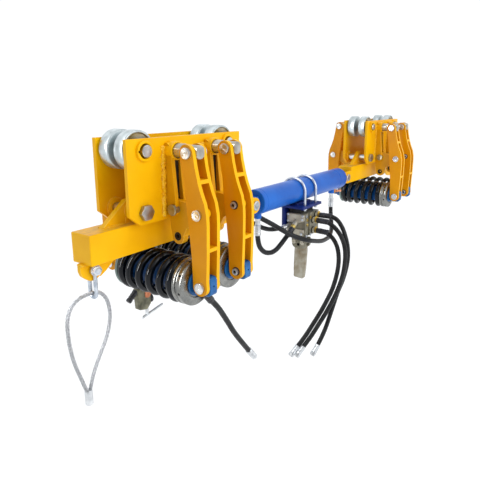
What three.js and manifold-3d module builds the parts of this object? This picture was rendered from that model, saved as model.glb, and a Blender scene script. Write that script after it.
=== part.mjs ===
import * as THREE from 'three';
import { mergeVertices } from 'three/addons/utils/BufferGeometryUtils.js';
import Module from 'manifold-3d';

const wasm = await Module();
wasm.setup();

// Millimetres, with X along the rail, Y across it and Z up. The car's origin lies midway between its
// two trolleys, in the middle of the rail, on the running face of the rail's bottom flange. Pieces
// count X from the first wheel axle of the trolley that carries them. Outlines in side view are
// [x, z] points, and outlines in end view are [out, z] points, where out is the distance from the
// rail's middle plane. Paired pieces are drawn on the far side and mirrored for the near side.
const TROLLEY_PITCH = 1645;
const FIRST_AXLE_X = -1002.5;
const SIDES = [['near', -1], ['far', 1]];

// Side plates, wheels and the pins that tie the plates to the carrier beam
const PLATE = { left: -60, right: 430, top: 91, bottom: -150, cornerX: 37, cornerZ: 31, in: 58, out: 70 };
const WHEEL = { x: [0, 360], z: 57, r: 57, in: 12, out: 50, rimStep: 3 };
const AXLE = { r: 17, in: 11, out: 90, ringR: 30.5, ringOut: 84 };
const CROSS_PIN = { x: [-5, 365], z: -115, r: 15, headR: 23.5, headOut: 84, bossR: 30, bossIn: 44 };
const SPIN_GAP = 0.5;
const FIT_GAP = 0.4;
const FACE_GAP = 0.3;

// Brake stations: nose for the thrust pin, cheeks, fulcrum bar and its pin
const STATION_X = [101, 269];
const THRUST = { z: 52, r: 21.5, in: 18, shoulder: 126, out: 187, noseR: 27.5, noseOut: 101 };
const SHOE = { in: 6, halfX: 30, halfZ: 22 };
const SLOT_HEIGHT = 11;
const CHEEK = { in: 10.3, out: 24 };
const LEDGE = { out: 99, bottom: 22 };
const CHEEK_OUTLINE = [[68, 60], [93, 60], [106, -85], [107, -115], [93, -138], [68, -138]];
const FULCRUM_OUTLINE = [[69, -92], [108, -92], [190, -101], [206, -104], [216, -114], [216, -128],
  [206, -140], [180, -146], [132, -176], [122, -212], [110, -224], [96, -227], [82, -221], [74, -206],
  [69, -170]];
const BRACKET_PIN = { out: 97.5, z: -119.5, r: 12.5, half: 33 };
const LUG_HOLE = { out: 97.5, z: -203, r: 13 };

// Brake arms: two plates joined by two webs, on a thrust pin, a pivot and a spring unit's eye
const ARM = { gap: 16, half: 29, head: 8, headR: 14.5 };
const ARM_TOP = { out: 161, z: 50, r: 27, pinR: 9 };
const ARM_PIVOT = { out: 195, z: -122, pinR: 10, boreR: 11 };
const ARM_FOOT = { out: 199.5, z: -337, r: 29, pinR: 10 };
const ARM_FRONT = [[228.5, -300], [228, -122], [221, -92]];
const ARM_BACK = [[136, 28], [148, -36], [156.5, -121], [169, -225]];
const ARM_WEBS = [
  [[153, -24], [197.5, -24], [200, -35], [154, -35]],
  [[170, -218], [227, -218], [227, -229], [171, -229]],
];

// Spring units below the trolleys: half sections as [radius, out] points, an eye at each end, the coil
const BARREL_SECTION = [[0, 165], [38, 165], [38, 130], [69, 130], [69, 118], [41, 118], [41, -92],
  [18.6, -92], [18.6, 75], [0, 75]];
const ROD_SECTION = [[0, -50], [18, -50], [18, 123], [71, 123], [71, 135], [65, 137], [65, 143],
  [70, 145], [70, 165], [0, 165]];
const EYE = { from: 160, r: 30, boreR: 11, half: 15.6 };
const COIL = { r: 60, wire: 13.5, start: -109, end: 104, turns: 4.9, stepsPerTurn: 10, sides: 6 };
const BRAKE_STUB = { from: [3, 175.5, -20], to: [16, 175.5, -36], r: 8 };

// Carrier beams: a closed box section with gussets, a tow lug and two ears for the cylinder's pin
const BEAM = { half: 40, bottom: -235, top: -151, wall: 8 };
const DRAIN = { x: 185, r: 9 };
const GUSSET = { outline: [[-104, -153], [-20, -84], [10, -84], [26, -100], [60, -153]], half: 9 };
const SADDLE = { r: 30, half: 20 };
const TOW_LUG = [[-38, -252], [-36, -262], [-26, -277], [-10, -286], [7, -287], [40, -272], [88, -233],
  [-30, -233], [-38, -240]];
const TOW = { z: -256, holeR: 9.3, half: 7 };
const EAR = { r: 31, in: 25, out: 39, reach: 20 };
const BEAMS = {
  left: { from: -167.5, to: 537, towX: -140, towTurn: 1, earX: 572 },
  right: { from: -180, to: 537.5, towX: 510, towTurn: -1, earX: -221 },
};
const JUNCTION = { from: 486, to: 520, in: 38, out: 76, bottom: -252, top: -192 };
const JUNCTION_PORT = { y: 62, z: [-207, -238], r: 12, end: 540 };

// Drive cylinder between the beams, its clamp, valve and lever, counted from the left trolley
const DRIVE = { z: -204, r: 52, from: 617, to: 1383, boreR: 42, glandR: 25.8, headEnd: 24, glandEnd: 70 };
const DRIVE_EYE = { left: 572, right: 1424, r: 27, half: 24, pinR: 15, pinHalf: 42 };
const DRIVE_PIN_HEAD = { r: 19, in: 39.3, out: 46 };
const ROD = { r: 25, from: 680, pistonR: 41, pistonFrom: 650, pistonTo: 690 };
const PORT = { x: [641, 1306], bossR: 15, bossEnd: -274, r: 11, end: -300.7 };
const CLAMP = { from: 878, to: 1050, half: 78, top: -264, bottom: -276 };
const CLAMP_PAD = { from: 905, to: 1030, half: 30, top: -256.6 };
const CLAMP_LEG = { in: 20, out: 34, bottom: -380 };
const UBOLT = { x: [925, 1025], r: 59, bar: 6, leg: 86, steps: 22, sides: 6 };
const VALVE = { from: 900, to: 1028, near: -75, far: 19.6, bottom: -412, top: -300 };
const VALVE_NECK = { from: 906, to: 1022, near: -48, far: 10, top: -276.4 };
const SUPPLY_PORT = { at: [[975, -338], [975, -386], [1001, -318]], r: 14, end: -112 };
const VALVE_FITTINGS = [
  { from: [905, -30, -334], to: [866.2, -30, -361.5], r: 13 },
  { from: [905, 5, -361], to: [868.3, 5, -361], r: 12 },
];
const LEVER = { from: 905, to: 925, y: -48, z: -440, pinR: 7, boreR: 7.5 };
const LEVER_OUTLINE = [[-60, -428], [-34, -428], [-20, -446], [-17, -590], [-24, -604], [-60, -606],
  [-68, -596], [-80, -457], [-74, -440]];
const LEVER_EARS = { x: [[891, 901], [929, 939]], near: -86, far: -12, bottom: -458, top: -408 };

// Tow shackle in the left lug: bow, pin and the pin's head
const SHACKLE = { x: -140, z: -318, r: 19, bar: 6.5, leg: 66, steps: 20, sides: 6 };
const SHACKLE_PIN = { r: 8.5, half: 30, headR: 13, headIn: 22, headOut: 31 };
const ROPE_FERRULE = { x: -178, r: 11, top: -600, bottom: -645 };

// Hose and rope routes, counted from the left trolley's first axle
const HOSES = [
  {
    name: 'left_port_hose', r: 10.5, steps: 10,
    route: [[641, 0, -301], [641, 0, -330], [641, 0, -354], [652.5, -2, -397], [684, -6, -428.5],
      [727, -12, -440], [756.4, -16, -434.8], [776.3, -19, -424.4], [820, -26, -393.6],
      [853.7, -30, -370.3], [866, -30, -361.6]],
  },
  {
    name: 'right_port_hose', r: 10.5, steps: 24,
    route: [[1306, 0, -301], [1306, 0, -345], [1304, -3, -385], [1292, -14, -425], [1262, -30, -452],
      [1215, -48, -466], [1160, -66, -468], [1115, -78, -462], [1050, -92, -453], [1000, -98, -443],
      [940, -99, -427], [891, -98, -412], [845, -84, -394], [808, -60, -374], [782, -32, -352],
      [757, 2, -326], [728, 24, -304], [690, 38, -280], [640, 50, -250], [585, 62, -215],
      [556, 62, -207], [540.6, 62, -207]],
  },
  {
    name: 'junction_hose', r: 10, steps: 10,
    route: [[868, 5, -361], [850, 5, -361], [828, 12, -360], [780, 26, -356], [735, 34, -342],
      [690, 44, -318], [640, 54, -286], [585, 62, -248], [556, 62, -238], [540.6, 62, -238]],
  },
  {
    name: 'supply_hose_1', r: 10, steps: 18,
    route: [[975, -112.3, -338], [975, -126, -338], [975, -152, -341], [975, -190, -362],
      [975, -222, -400], [975, -240, -450], [973, -243, -510], [966, -238, -570], [950, -226, -630],
      [930, -212, -680], [900, -194, -735], [868, -175, -785], [835, -155, -835], [795, -128, -890],
      [775, -114, -918]],
  },
  {
    name: 'supply_hose_2', r: 10, steps: 16,
    route: [[975, -112.3, -386], [975, -126, -386], [975, -150, -392], [975, -180, -412],
      [973, -203, -448], [969, -214, -500], [960, -213, -560], [940, -203, -630], [920, -189, -680],
      [890, -171, -735], [858, -152, -785], [825, -132, -835], [785, -105, -890], [765, -91, -918]],
  },
  {
    name: 'supply_hose_3', r: 10, steps: 18,
    route: [[1001, -112.3, -318], [1001, -126, -318], [1003, -150, -317], [1005, -182, -330],
      [1005, -208, -360], [1005, -226, -400], [1006, -238, -445], [1006, -242, -490],
      [1004, -238, -540], [994, -226, -605], [978, -211, -660], [956, -205, -707], [932, -198, -760],
      [905, -191, -814], [880, -181, -860], [855, -166, -908], [843, -158, -930]],
  },
  {
    name: 'left_brake_hose', r: 9, steps: 12,
    route: [[117.2, -175.5, -373.2], [129.8, -175.5, -388.8], [150, -175.5, -412], [180, -175.5, -447],
      [220, -175.5, -505], [256, -175.5, -560], [330, -175.5, -655], [372, -175.5, -705]],
  },
];
const ROPE = {
  r: 5, steps: 30,
  route: [[-183.5, 0, -602], [-196, 1, -560], [-210, 3, -510], [-217, 5, -470], [-221, 6, -420],
    [-218, 7, -376], [-205, 6, -345], [-182, 3, -328], [-140, 0, -324.5], [-122, -1, -330],
    [-104, -3, -352], [-95, -4, -390], [-98, -4, -430], [-112, -4, -470], [-139, -2, -520],
    [-160, 0, -565], [-172.5, 0, -602]],
};

const FINISH = {
  yellow: { color: 0xf0a30a, roughness: 0.4, metalness: 0 },
  blue: { color: 0x1246a8, roughness: 0.35, metalness: 0 },
  navy: { color: 0x0d1650, roughness: 0.4, metalness: 0 },
  black: { color: 0x060606, roughness: 0.25, metalness: 0 },
  zinc: { color: 0xb4bab4, roughness: 0.4, metalness: 0.9 },
  steel: { color: 0x8f8d86, roughness: 0.35, metalness: 1 },
  olive: { color: 0x8a8672, roughness: 0.6, metalness: 0.4 },
  rubber: { color: 0x0b0b0c, roughness: 0.65, metalness: 0 },
};

// Negative where a surface's faces point inwards
function signedVolume(p, t) {
  let v = 0;
  for (let i = 0; i < t.length; i += 3) {
    const [a, b, c] = [t[i] * 3, t[i + 1] * 3, t[i + 2] * 3];
    v += p[a] * (p[b + 1] * p[c + 2] - p[b + 2] * p[c + 1])
      - p[a + 1] * (p[b] * p[c + 2] - p[b + 2] * p[c])
      + p[a + 2] * (p[b] * p[c + 1] - p[b + 1] * p[c]);
  }
  return v;
}

// A closed geometry as a solid that can be joined and cut
function solid(geometry) {
  const bare = geometry.clone();
  bare.deleteAttribute('normal');
  bare.deleteAttribute('uv');
  const merged = mergeVertices(bare, 1e-4);
  const points = new Float32Array(merged.attributes.position.array);
  const triangles = new Uint32Array(merged.index.array);
  if (signedVolume(points, triangles) < 0) triangles.reverse();
  return new wasm.Manifold(new wasm.Mesh({ numProp: 3, vertProperties: points, triVerts: triangles }));
}

function fuse(...parts) {
  return parts.reduce((a, b) => a.add(b));
}

function cut(body, ...tools) {
  return tools.reduce((a, b) => a.subtract(b), body);
}

function block(x0, x1, y0, y1, z0, z1) {
  const geometry = new THREE.BoxGeometry(x1 - x0, y1 - y0, z1 - z0);
  geometry.translate((x0 + x1) / 2, (y0 + y1) / 2, (z0 + z1) / 2);
  return solid(geometry);
}

// A round bar from one point to another
function round(from, to, r, sides = 12) {
  const start = new THREE.Vector3(...from);
  const end = new THREE.Vector3(...to);
  const along = end.clone().sub(start);
  const geometry = new THREE.CylinderGeometry(r, r, along.length(), sides);
  const up = new THREE.Vector3(0, 1, 0);
  geometry.applyQuaternion(new THREE.Quaternion().setFromUnitVectors(up, along.clone().normalize()));
  const middle = start.add(end).divideScalar(2);
  geometry.translate(middle.x, middle.y, middle.z);
  return solid(geometry);
}

function roundX(y, z, r, x0, x1, sides) {
  return round([x0, y, z], [x1, y, z], r, sides);
}

function roundY(x, z, r, y0, y1, sides) {
  return round([x, y0, z], [x, y1, z], r, sides);
}

function shapeOf(outline) {
  if (outline instanceof THREE.Shape) return outline;
  return new THREE.Shape(outline.map(([u, v]) => new THREE.Vector2(u, v)));
}

// A plate whose outline lies in side view, between two Y values
function sidePlateOf(outline, y0, y1) {
  const geometry = new THREE.ExtrudeGeometry(shapeOf(outline), { depth: y1 - y0, bevelEnabled: false });
  geometry.rotateX(Math.PI / 2);
  geometry.translate(0, y1, 0);
  return solid(geometry);
}

// A plate whose outline lies in end view, between two X values
function endPlateOf(outline, x0, x1, arcSteps = 4) {
  const settings = { depth: x1 - x0, bevelEnabled: false, curveSegments: arcSteps };
  const geometry = new THREE.ExtrudeGeometry(shapeOf(outline), settings);
  const turn = new THREE.Matrix4().set(0, 0, 1, x0, 1, 0, 0, 0, 0, 1, 0, 0, 0, 0, 0, 1);
  geometry.applyMatrix4(turn);
  return solid(geometry);
}

// A turned piece about the Y axis
function turned(section, sides = 20) {
  return solid(new THREE.LatheGeometry(section.map(([r, y]) => new THREE.Vector2(r, y)), sides));
}

// A round bar or hose along a curve
function tube(curve, r, steps, sides = 8) {
  const section = new THREE.Shape();
  for (let i = 0; i < sides; i += 1) {
    const angle = (2 * Math.PI * i) / sides;
    if (i === 0) section.moveTo(r, 0);
    else section.lineTo(r * Math.cos(angle), r * Math.sin(angle));
  }
  const settings = { steps, bevelEnabled: false, extrudePath: curve };
  return solid(new THREE.ExtrudeGeometry(section, settings));
}

// A smooth curve through the points of a route
function through(points) {
  return new THREE.CatmullRomCurve3(points.map((p) => new THREE.Vector3(...p)), false, 'centripetal');
}

// The middle line of a coil spring about the Y axis
class Helix extends THREE.Curve {
  getPoint(t) {
    const angle = 2 * Math.PI * COIL.turns * t;
    const y = COIL.start + (COIL.end - COIL.start) * t;
    return new THREE.Vector3(COIL.r * Math.cos(angle), y, COIL.r * Math.sin(angle));
  }
}

// Two straight legs joined by a half circle, in end view. Up is 1 for a half circle above its centre.
class Bow extends THREE.Curve {
  constructor(x, z, r, leg, up) {
    super();
    Object.assign(this, { x, z, r, leg, up });
  }

  getPoint(t) {
    const arc = Math.PI * this.r;
    const s = t * (arc + 2 * this.leg) - this.leg;
    if (s < 0) return new THREE.Vector3(this.x, -this.r, this.z + this.up * s);
    if (s > arc) return new THREE.Vector3(this.x, this.r, this.z - this.up * (s - arc));
    const y = -this.r * Math.cos(s / this.r);
    return new THREE.Vector3(this.x, y, this.z + this.up * this.r * Math.sin(s / this.r));
  }
}

const car = new THREE.Group();
car.name = 'monorail_brake_car';

const trolley = {};
['left', 'right'].forEach((name, i) => {
  trolley[name] = new THREE.Group();
  trolley[name].position.x = FIRST_AXLE_X + TROLLEY_PITCH * i;
  car.add(trolley[name]);
});

// Puts a finished piece in its trolley's group. A side below 0 mirrors it to the near side.
function piece(parent, name, body, finish, place = [0, 0, 0], side = 1) {
  const { vertProperties, triVerts } = body.getMesh();
  const points = Float32Array.from(vertProperties, (v, i) => (i % 3 === 1 ? v * side : v));
  const triangles = Uint32Array.from(triVerts);
  if (side < 0) triangles.reverse();
  const geometry = new THREE.BufferGeometry();
  geometry.setAttribute('position', new THREE.BufferAttribute(points, 3));
  geometry.setIndex(new THREE.BufferAttribute(triangles, 1));
  const faceted = geometry.toNonIndexed();
  faceted.computeVertexNormals();
  const mesh = new THREE.Mesh(faceted, new THREE.MeshStandardMaterial(FINISH[finish]));
  mesh.name = name;
  mesh.position.set(...place);
  parent.add(mesh);
}

// One brake station of a side plate, at its own x
function station(x) {
  const inner = PLATE.out - 2;
  const barHalf = CHEEK.in + 0.1;
  const { out, z, r, half } = BRACKET_PIN;
  return cut(
    fuse(
      endPlateOf(CHEEK_OUTLINE, x - CHEEK.out, x - CHEEK.in),
      endPlateOf(CHEEK_OUTLINE, x + CHEEK.in, x + CHEEK.out),
      roundY(x, THRUST.z, THRUST.noseR, inner, THRUST.noseOut),
      block(x - CHEEK.out, x + CHEEK.out, inner, LEDGE.out, LEDGE.bottom, THRUST.z),
      endPlateOf(FULCRUM_OUTLINE, x - barHalf, x + barHalf),
      roundX(out, z, r, x - half, x + half, 8),
    ),
    roundX(LUG_HOLE.out, LUG_HOLE.z, LUG_HOLE.r, x - CHEEK.out, x + CHEEK.out, 8),
    roundX(ARM_PIVOT.out, ARM_PIVOT.z, ARM_PIVOT.boreR, x - CHEEK.out, x + CHEEK.out, 8),
    roundY(x, THRUST.z, THRUST.r + FIT_GAP, 0, 120),
  );
}

function sidePlate() {
  const { left, right, top, bottom, cornerX, cornerZ } = PLATE;
  const outline = [[left, bottom + cornerZ], [left + cornerX, bottom], [right - cornerX, bottom],
    [right, bottom + cornerZ], [right, top], [left, top]];
  let body = sidePlateOf(outline, PLATE.in, PLATE.out);
  for (const x of STATION_X) {
    body = cut(body, roundY(x, THRUST.z, THRUST.r + FIT_GAP, 0, 120));
    body = fuse(body, station(x));
  }
  for (const x of WHEEL.x) {
    body = fuse(
      body,
      roundY(x, WHEEL.z, AXLE.ringR, PLATE.out - 2, AXLE.ringOut),
      roundY(x, WHEEL.z, AXLE.r, AXLE.in, AXLE.out),
    );
  }
  for (const x of CROSS_PIN.x) {
    body = fuse(body, roundY(x, CROSS_PIN.z, CROSS_PIN.bossR, CROSS_PIN.bossIn, PLATE.in + 2));
    body = cut(body, roundY(x, CROSS_PIN.z, CROSS_PIN.r + FIT_GAP, 0, 100));
  }
  return body;
}

function wheel() {
  const bore = AXLE.r + SPIN_GAP;
  const { r, in: inner, out: outer, rimStep } = WHEEL;
  return turned([[bore, outer], [r, outer], [r, inner + rimStep], [r - rimStep, inner], [bore, inner],
    [bore, outer]]);
}

function crossPin() {
  const { r, headR, headOut } = CROSS_PIN;
  const head = PLATE.out + FACE_GAP;
  return fuse(
    roundY(0, 0, r, -head - 1, head + 1),
    roundY(0, 0, headR, -headOut, -head, 6),
    roundY(0, 0, headR, head, headOut, 6),
  );
}

// Thrust pin: slides in the nose, pushed by the arm's top pin, and carries the brake shoe
function thrustPin() {
  const { r, in: inner, shoulder, out: tip } = THRUST;
  const half = ARM.gap - 0.5;
  const slack = ARM_TOP.pinR + FIT_GAP;
  const slotZ = ARM_TOP.z - THRUST.z;
  return cut(
    fuse(
      roundY(0, 0, r, inner, shoulder + 2),
      roundY(0, 0, r, shoulder, tip).intersect(block(-half, half, shoulder, tip, -r, r)),
      block(-SHOE.halfX, SHOE.halfX, SHOE.in, inner + 2, -SHOE.halfZ, SHOE.halfZ),
    ),
    block(-r, r, ARM_TOP.out - slack, ARM_TOP.out + slack, slotZ - SLOT_HEIGHT, slotZ + SLOT_HEIGHT),
  );
}

function armOutline() {
  const outline = new THREE.Shape();
  outline.moveTo(...ARM_FRONT[0]);
  outline.lineTo(...ARM_FRONT[1]);
  outline.lineTo(...ARM_FRONT[2]);
  outline.absarc(ARM_TOP.out, ARM_TOP.z, ARM_TOP.r, 0, Math.PI, false);
  ARM_BACK.forEach(([out, z]) => outline.lineTo(out, z));
  outline.absarc(ARM_FOOT.out, ARM_FOOT.z, ARM_FOOT.r, Math.PI, 2 * Math.PI, false);
  return outline;
}

function brakeArm() {
  const { gap, half, head, headR } = ARM;
  let body = fuse(endPlateOf(armOutline(), -half, -gap), endPlateOf(armOutline(), gap, half));
  for (const web of ARM_WEBS) {
    body = fuse(body, endPlateOf(web, -gap - 1, gap + 1));
  }
  for (const { out, z, pinR } of [ARM_TOP, ARM_PIVOT, ARM_FOOT]) {
    body = fuse(
      body,
      roundX(out, z, pinR, -gap - 1, gap + 1, 8),
      roundX(out, z, headR, -half - head, -half + 1, 8),
      roundX(out, z, headR, half - 1, half + head, 8),
    );
  }
  return body;
}

// One half of a spring unit, ending in the eye between an arm's plates
function unitHalf(section) {
  const { from, r, boreR, half } = EYE;
  const outline = new THREE.Shape();
  outline.moveTo(from, -r);
  outline.lineTo(ARM_FOOT.out, -r);
  outline.absarc(ARM_FOOT.out, 0, r, -Math.PI / 2, Math.PI / 2, false);
  outline.lineTo(from, r);
  return cut(
    fuse(turned(section), endPlateOf(outline, -half, half)),
    roundX(ARM_FOOT.out, 0, boreR, -half - 1, half + 1, 8),
  );
}

function coil() {
  return tube(new Helix(), COIL.wire, Math.round(COIL.turns * COIL.stepsPerTurn), COIL.sides);
}

function carrierBeam({ from, to, towX, towTurn, earX }) {
  const { half, bottom, top, wall } = BEAM;
  const inner = half - wall;
  let body = cut(
    block(from, to, -half, half, bottom, top),
    block(from + wall, to - wall, -inner, inner, bottom + wall, top - wall),
    round([DRAIN.x, 0, bottom - 1], [DRAIN.x, 0, bottom + wall + 1], DRAIN.r),
  );
  CROSS_PIN.x.forEach((x, i) => {
    const turn = 1 - 2 * i;
    const outline = GUSSET.outline.map(([u, z]) => [WHEEL.x[i] + turn * u, z]);
    body = fuse(
      body,
      sidePlateOf(outline, -GUSSET.half, GUSSET.half),
      roundY(x, CROSS_PIN.z, SADDLE.r, -SADDLE.half, SADDLE.half),
      block(x - SADDLE.r, x + SADDLE.r, -SADDLE.half, SADDLE.half, top - 2, CROSS_PIN.z),
    );
    body = cut(body, roundY(x, CROSS_PIN.z, CROSS_PIN.r + FIT_GAP, -half, half));
  });
  const lug = TOW_LUG.map(([u, z]) => [towX + towTurn * u, z]);
  const [root, tip] = towTurn > 0 ? [to - EAR.reach, earX] : [earX, from + EAR.reach];
  for (const [, side] of SIDES) {
    const [y0, y1] = [EAR.in * side, EAR.out * side].sort((a, b) => a - b);
    body = fuse(
      body,
      roundY(earX, DRIVE.z, EAR.r, y0, y1, 20),
      block(root, tip, y0, y1, bottom, DRIVE.z + EAR.r),
    );
  }
  return cut(
    fuse(body, sidePlateOf(lug, -TOW.half, TOW.half)),
    roundY(towX, TOW.z, TOW.holeR, -half, half, 12),
    roundY(earX, DRIVE.z, DRIVE_EYE.pinR + FIT_GAP, -60, 60),
  );
}

// Block on the left beam's far side where two hoses join the brake pipes
function junction() {
  const { from, to, in: inner, out, bottom, top } = JUNCTION;
  const { y, z, r, end } = JUNCTION_PORT;
  return fuse(
    block(from, to, inner, out, bottom, top),
    ...z.map((height) => roundX(y, height, r, to - 2, end, 12)),
  );
}

// The drive cylinder's eye at either end, with its pin through the beam's ears
function driveEye(x) {
  const { r, half, pinR, pinHalf } = DRIVE_EYE;
  const { r: headR, in: headIn, out: headOut } = DRIVE_PIN_HEAD;
  return fuse(
    roundY(x, DRIVE.z, r, -half, half),
    roundY(x, DRIVE.z, pinR, -pinHalf, pinHalf),
    roundY(x, DRIVE.z, headR, -headOut, -headIn, 12),
    roundY(x, DRIVE.z, headR, headIn, headOut, 12),
  );
}

function driveBarrel() {
  const { z, r, from, to, boreR, glandR, headEnd, glandEnd } = DRIVE;
  const { left, r: eyeR, half } = DRIVE_EYE;
  let body = cut(
    roundX(0, z, r, from, to, 32),
    roundX(0, z, boreR, from + headEnd, to - glandEnd, 24),
    roundX(0, z, glandR, to - glandEnd - 1, to + 1),
  );
  body = fuse(body, block(left, from + 4, -half, half, z - eyeR, z + eyeR), driveEye(left));
  for (const x of PORT.x) {
    body = fuse(
      body,
      round([x, 0, PORT.bossEnd], [x, 0, z - r + 5], PORT.bossR, 12),
      round([x, 0, PORT.end], [x, 0, PORT.bossEnd + 4], PORT.r, 8),
    );
  }
  return body;
}

function driveRod() {
  return fuse(
    roundX(0, DRIVE.z, ROD.r, ROD.from, DRIVE_EYE.right - EAR.reach),
    roundX(0, DRIVE.z, ROD.pistonR, ROD.pistonFrom, ROD.pistonTo, 24),
    driveEye(DRIVE_EYE.right),
  );
}

function tubeClamp() {
  const { from, to, half, top, bottom } = CLAMP;
  let body = fuse(
    block(from, to, -half, half, bottom, top),
    block(CLAMP_PAD.from, CLAMP_PAD.to, -CLAMP_PAD.half, CLAMP_PAD.half, top - 2, CLAMP_PAD.top),
    block(from, to, CLAMP_LEG.in, CLAMP_LEG.out, CLAMP_LEG.bottom, bottom + 2),
  );
  for (const x of UBOLT.x) {
    const line = new Bow(x, DRIVE.z, UBOLT.r, UBOLT.leg, 1);
    body = fuse(body, tube(line, UBOLT.bar, UBOLT.steps, UBOLT.sides));
  }
  return body;
}

function valveBlock() {
  const { from, to, near, far, bottom, top } = VALVE;
  let body = fuse(
    block(from, to, near, far, bottom, top),
    block(VALVE_NECK.from, VALVE_NECK.to, VALVE_NECK.near, VALVE_NECK.far, top - 1, VALVE_NECK.top),
    roundX(LEVER.y, LEVER.z, LEVER.pinR, LEVER_EARS.x[0][0] + 4, LEVER_EARS.x[1][1] - 4, 10),
  );
  for (const [x, z] of SUPPLY_PORT.at) {
    body = fuse(body, roundY(x, z, SUPPLY_PORT.r, SUPPLY_PORT.end, near + 5, 12));
  }
  for (const fitting of VALVE_FITTINGS) {
    body = fuse(body, round(fitting.from, fitting.to, fitting.r, 12));
  }
  for (const [x0, x1] of LEVER_EARS.x) {
    body = fuse(body, block(x0, x1, LEVER_EARS.near, LEVER_EARS.far, LEVER_EARS.bottom, LEVER_EARS.top));
  }
  return body;
}

function valveLever() {
  return cut(
    endPlateOf(LEVER_OUTLINE, LEVER.from, LEVER.to),
    roundX(LEVER.y, LEVER.z, LEVER.boreR, LEVER.from - 1, LEVER.to + 1, 10),
  );
}

function towShackle() {
  const { x, z, r, bar, leg, steps, sides } = SHACKLE;
  const { r: pinR, half, headR, headIn, headOut } = SHACKLE_PIN;
  return fuse(
    tube(new Bow(x, z, r, leg, -1), bar, steps, sides),
    roundY(x, TOW.z, pinR, -half, half, 12),
    roundY(x, TOW.z, headR, -headOut, -headIn, 6),
  );
}

// The rope's two ends are pressed into one ferrule
function towRope() {
  const { x, r, top, bottom } = ROPE_FERRULE;
  return fuse(tube(through(ROPE.route), ROPE.r, ROPE.steps), round([x, 0, bottom], [x, 0, top], r, 12));
}

for (const [end, group] of Object.entries(trolley)) {
  for (const [row, side] of SIDES) {
    piece(group, `${end}_${row}_side_plate`, sidePlate(), 'yellow', [0, 0, 0], side);
    WHEEL.x.forEach((x, i) => {
      piece(group, `${end}_${row}_wheel_${i + 1}`, wheel(), 'zinc', [x, 0, WHEEL.z], side);
    });
    STATION_X.forEach((x, i) => {
      piece(group, `${end}_${row}_brake_arm_${i + 1}`, brakeArm(), 'yellow', [x, 0, 0], side);
      piece(group, `${end}_${row}_thrust_pin_${i + 1}`, thrustPin(), 'steel', [x, 0, THRUST.z], side);
    });
  }
  CROSS_PIN.x.forEach((x, i) => {
    piece(group, `${end}_cross_pin_${i + 1}`, crossPin(), 'zinc', [x, 0, CROSS_PIN.z]);
  });
  const beam = carrierBeam(BEAMS[end]);
  piece(group, `${end}_carrier_beam`, end === 'left' ? fuse(beam, junction()) : beam, 'yellow');
  STATION_X.forEach((x, i) => {
    const place = [x, 0, ARM_FOOT.z];
    const hosed = end === 'left' && i === 0;
    const rod = unitHalf(ROD_SECTION);
    const nearHalf = hosed ? fuse(rod, round(BRAKE_STUB.from, BRAKE_STUB.to, BRAKE_STUB.r, 12)) : rod;
    piece(group, `${end}_release_cylinder_${i + 1}`, unitHalf(BARREL_SECTION), 'blue', place);
    piece(group, `${end}_release_rod_${i + 1}`, nearHalf, 'steel', place, -1);
    piece(group, `${end}_brake_spring_${i + 1}`, coil(), 'black', place);
  });
}

piece(trolley.left, 'drive_cylinder_barrel', driveBarrel(), 'blue');
piece(trolley.left, 'drive_cylinder_rod', driveRod(), 'steel');
piece(trolley.left, 'tube_clamp', tubeClamp(), 'navy');
piece(trolley.left, 'valve_block', valveBlock(), 'olive');
piece(trolley.left, 'valve_lever', valveLever(), 'olive');
piece(trolley.left, 'tow_shackle', towShackle(), 'zinc');
piece(trolley.left, 'tow_rope_loop', towRope(), 'zinc');
for (const { name, r, steps, route } of HOSES) {
  piece(trolley.left, name, tube(through(route), r, steps), 'rubber');
}

export default car;
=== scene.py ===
import math
import random

import bpy
from mathutils import Matrix, Vector, noise


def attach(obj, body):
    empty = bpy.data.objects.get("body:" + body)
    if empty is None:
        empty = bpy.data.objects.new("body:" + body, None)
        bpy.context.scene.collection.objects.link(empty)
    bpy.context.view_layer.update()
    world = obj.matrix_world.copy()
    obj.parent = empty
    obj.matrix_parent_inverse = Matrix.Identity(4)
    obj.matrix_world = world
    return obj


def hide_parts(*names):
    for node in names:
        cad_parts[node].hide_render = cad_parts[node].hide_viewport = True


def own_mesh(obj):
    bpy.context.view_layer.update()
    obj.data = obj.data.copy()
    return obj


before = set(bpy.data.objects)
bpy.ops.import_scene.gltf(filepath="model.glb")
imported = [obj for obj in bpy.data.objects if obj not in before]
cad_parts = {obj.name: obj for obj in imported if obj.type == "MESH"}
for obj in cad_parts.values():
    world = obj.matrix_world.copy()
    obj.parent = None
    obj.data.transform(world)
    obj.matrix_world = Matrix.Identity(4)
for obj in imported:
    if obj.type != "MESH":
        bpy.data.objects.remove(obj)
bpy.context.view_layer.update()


# The viewpoint: beside the left-hand end of the car, a little above its wheels, with the lens and
# shift that set the car in the frame as it is seen in the picture.
YAW, PITCH, ROLL = math.radians(56.67), math.radians(11.62), math.radians(0.39)
IMAGE_SIZE = 480
FOCAL_PIXELS = 472.29
AXIS_PIXEL = (272.9, 198.61)
EYE_PLACE = Vector((-1.889, -1.0781, 0.1925))
SENSOR_WIDTH = 36
FAR_LIMIT = 500

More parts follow.
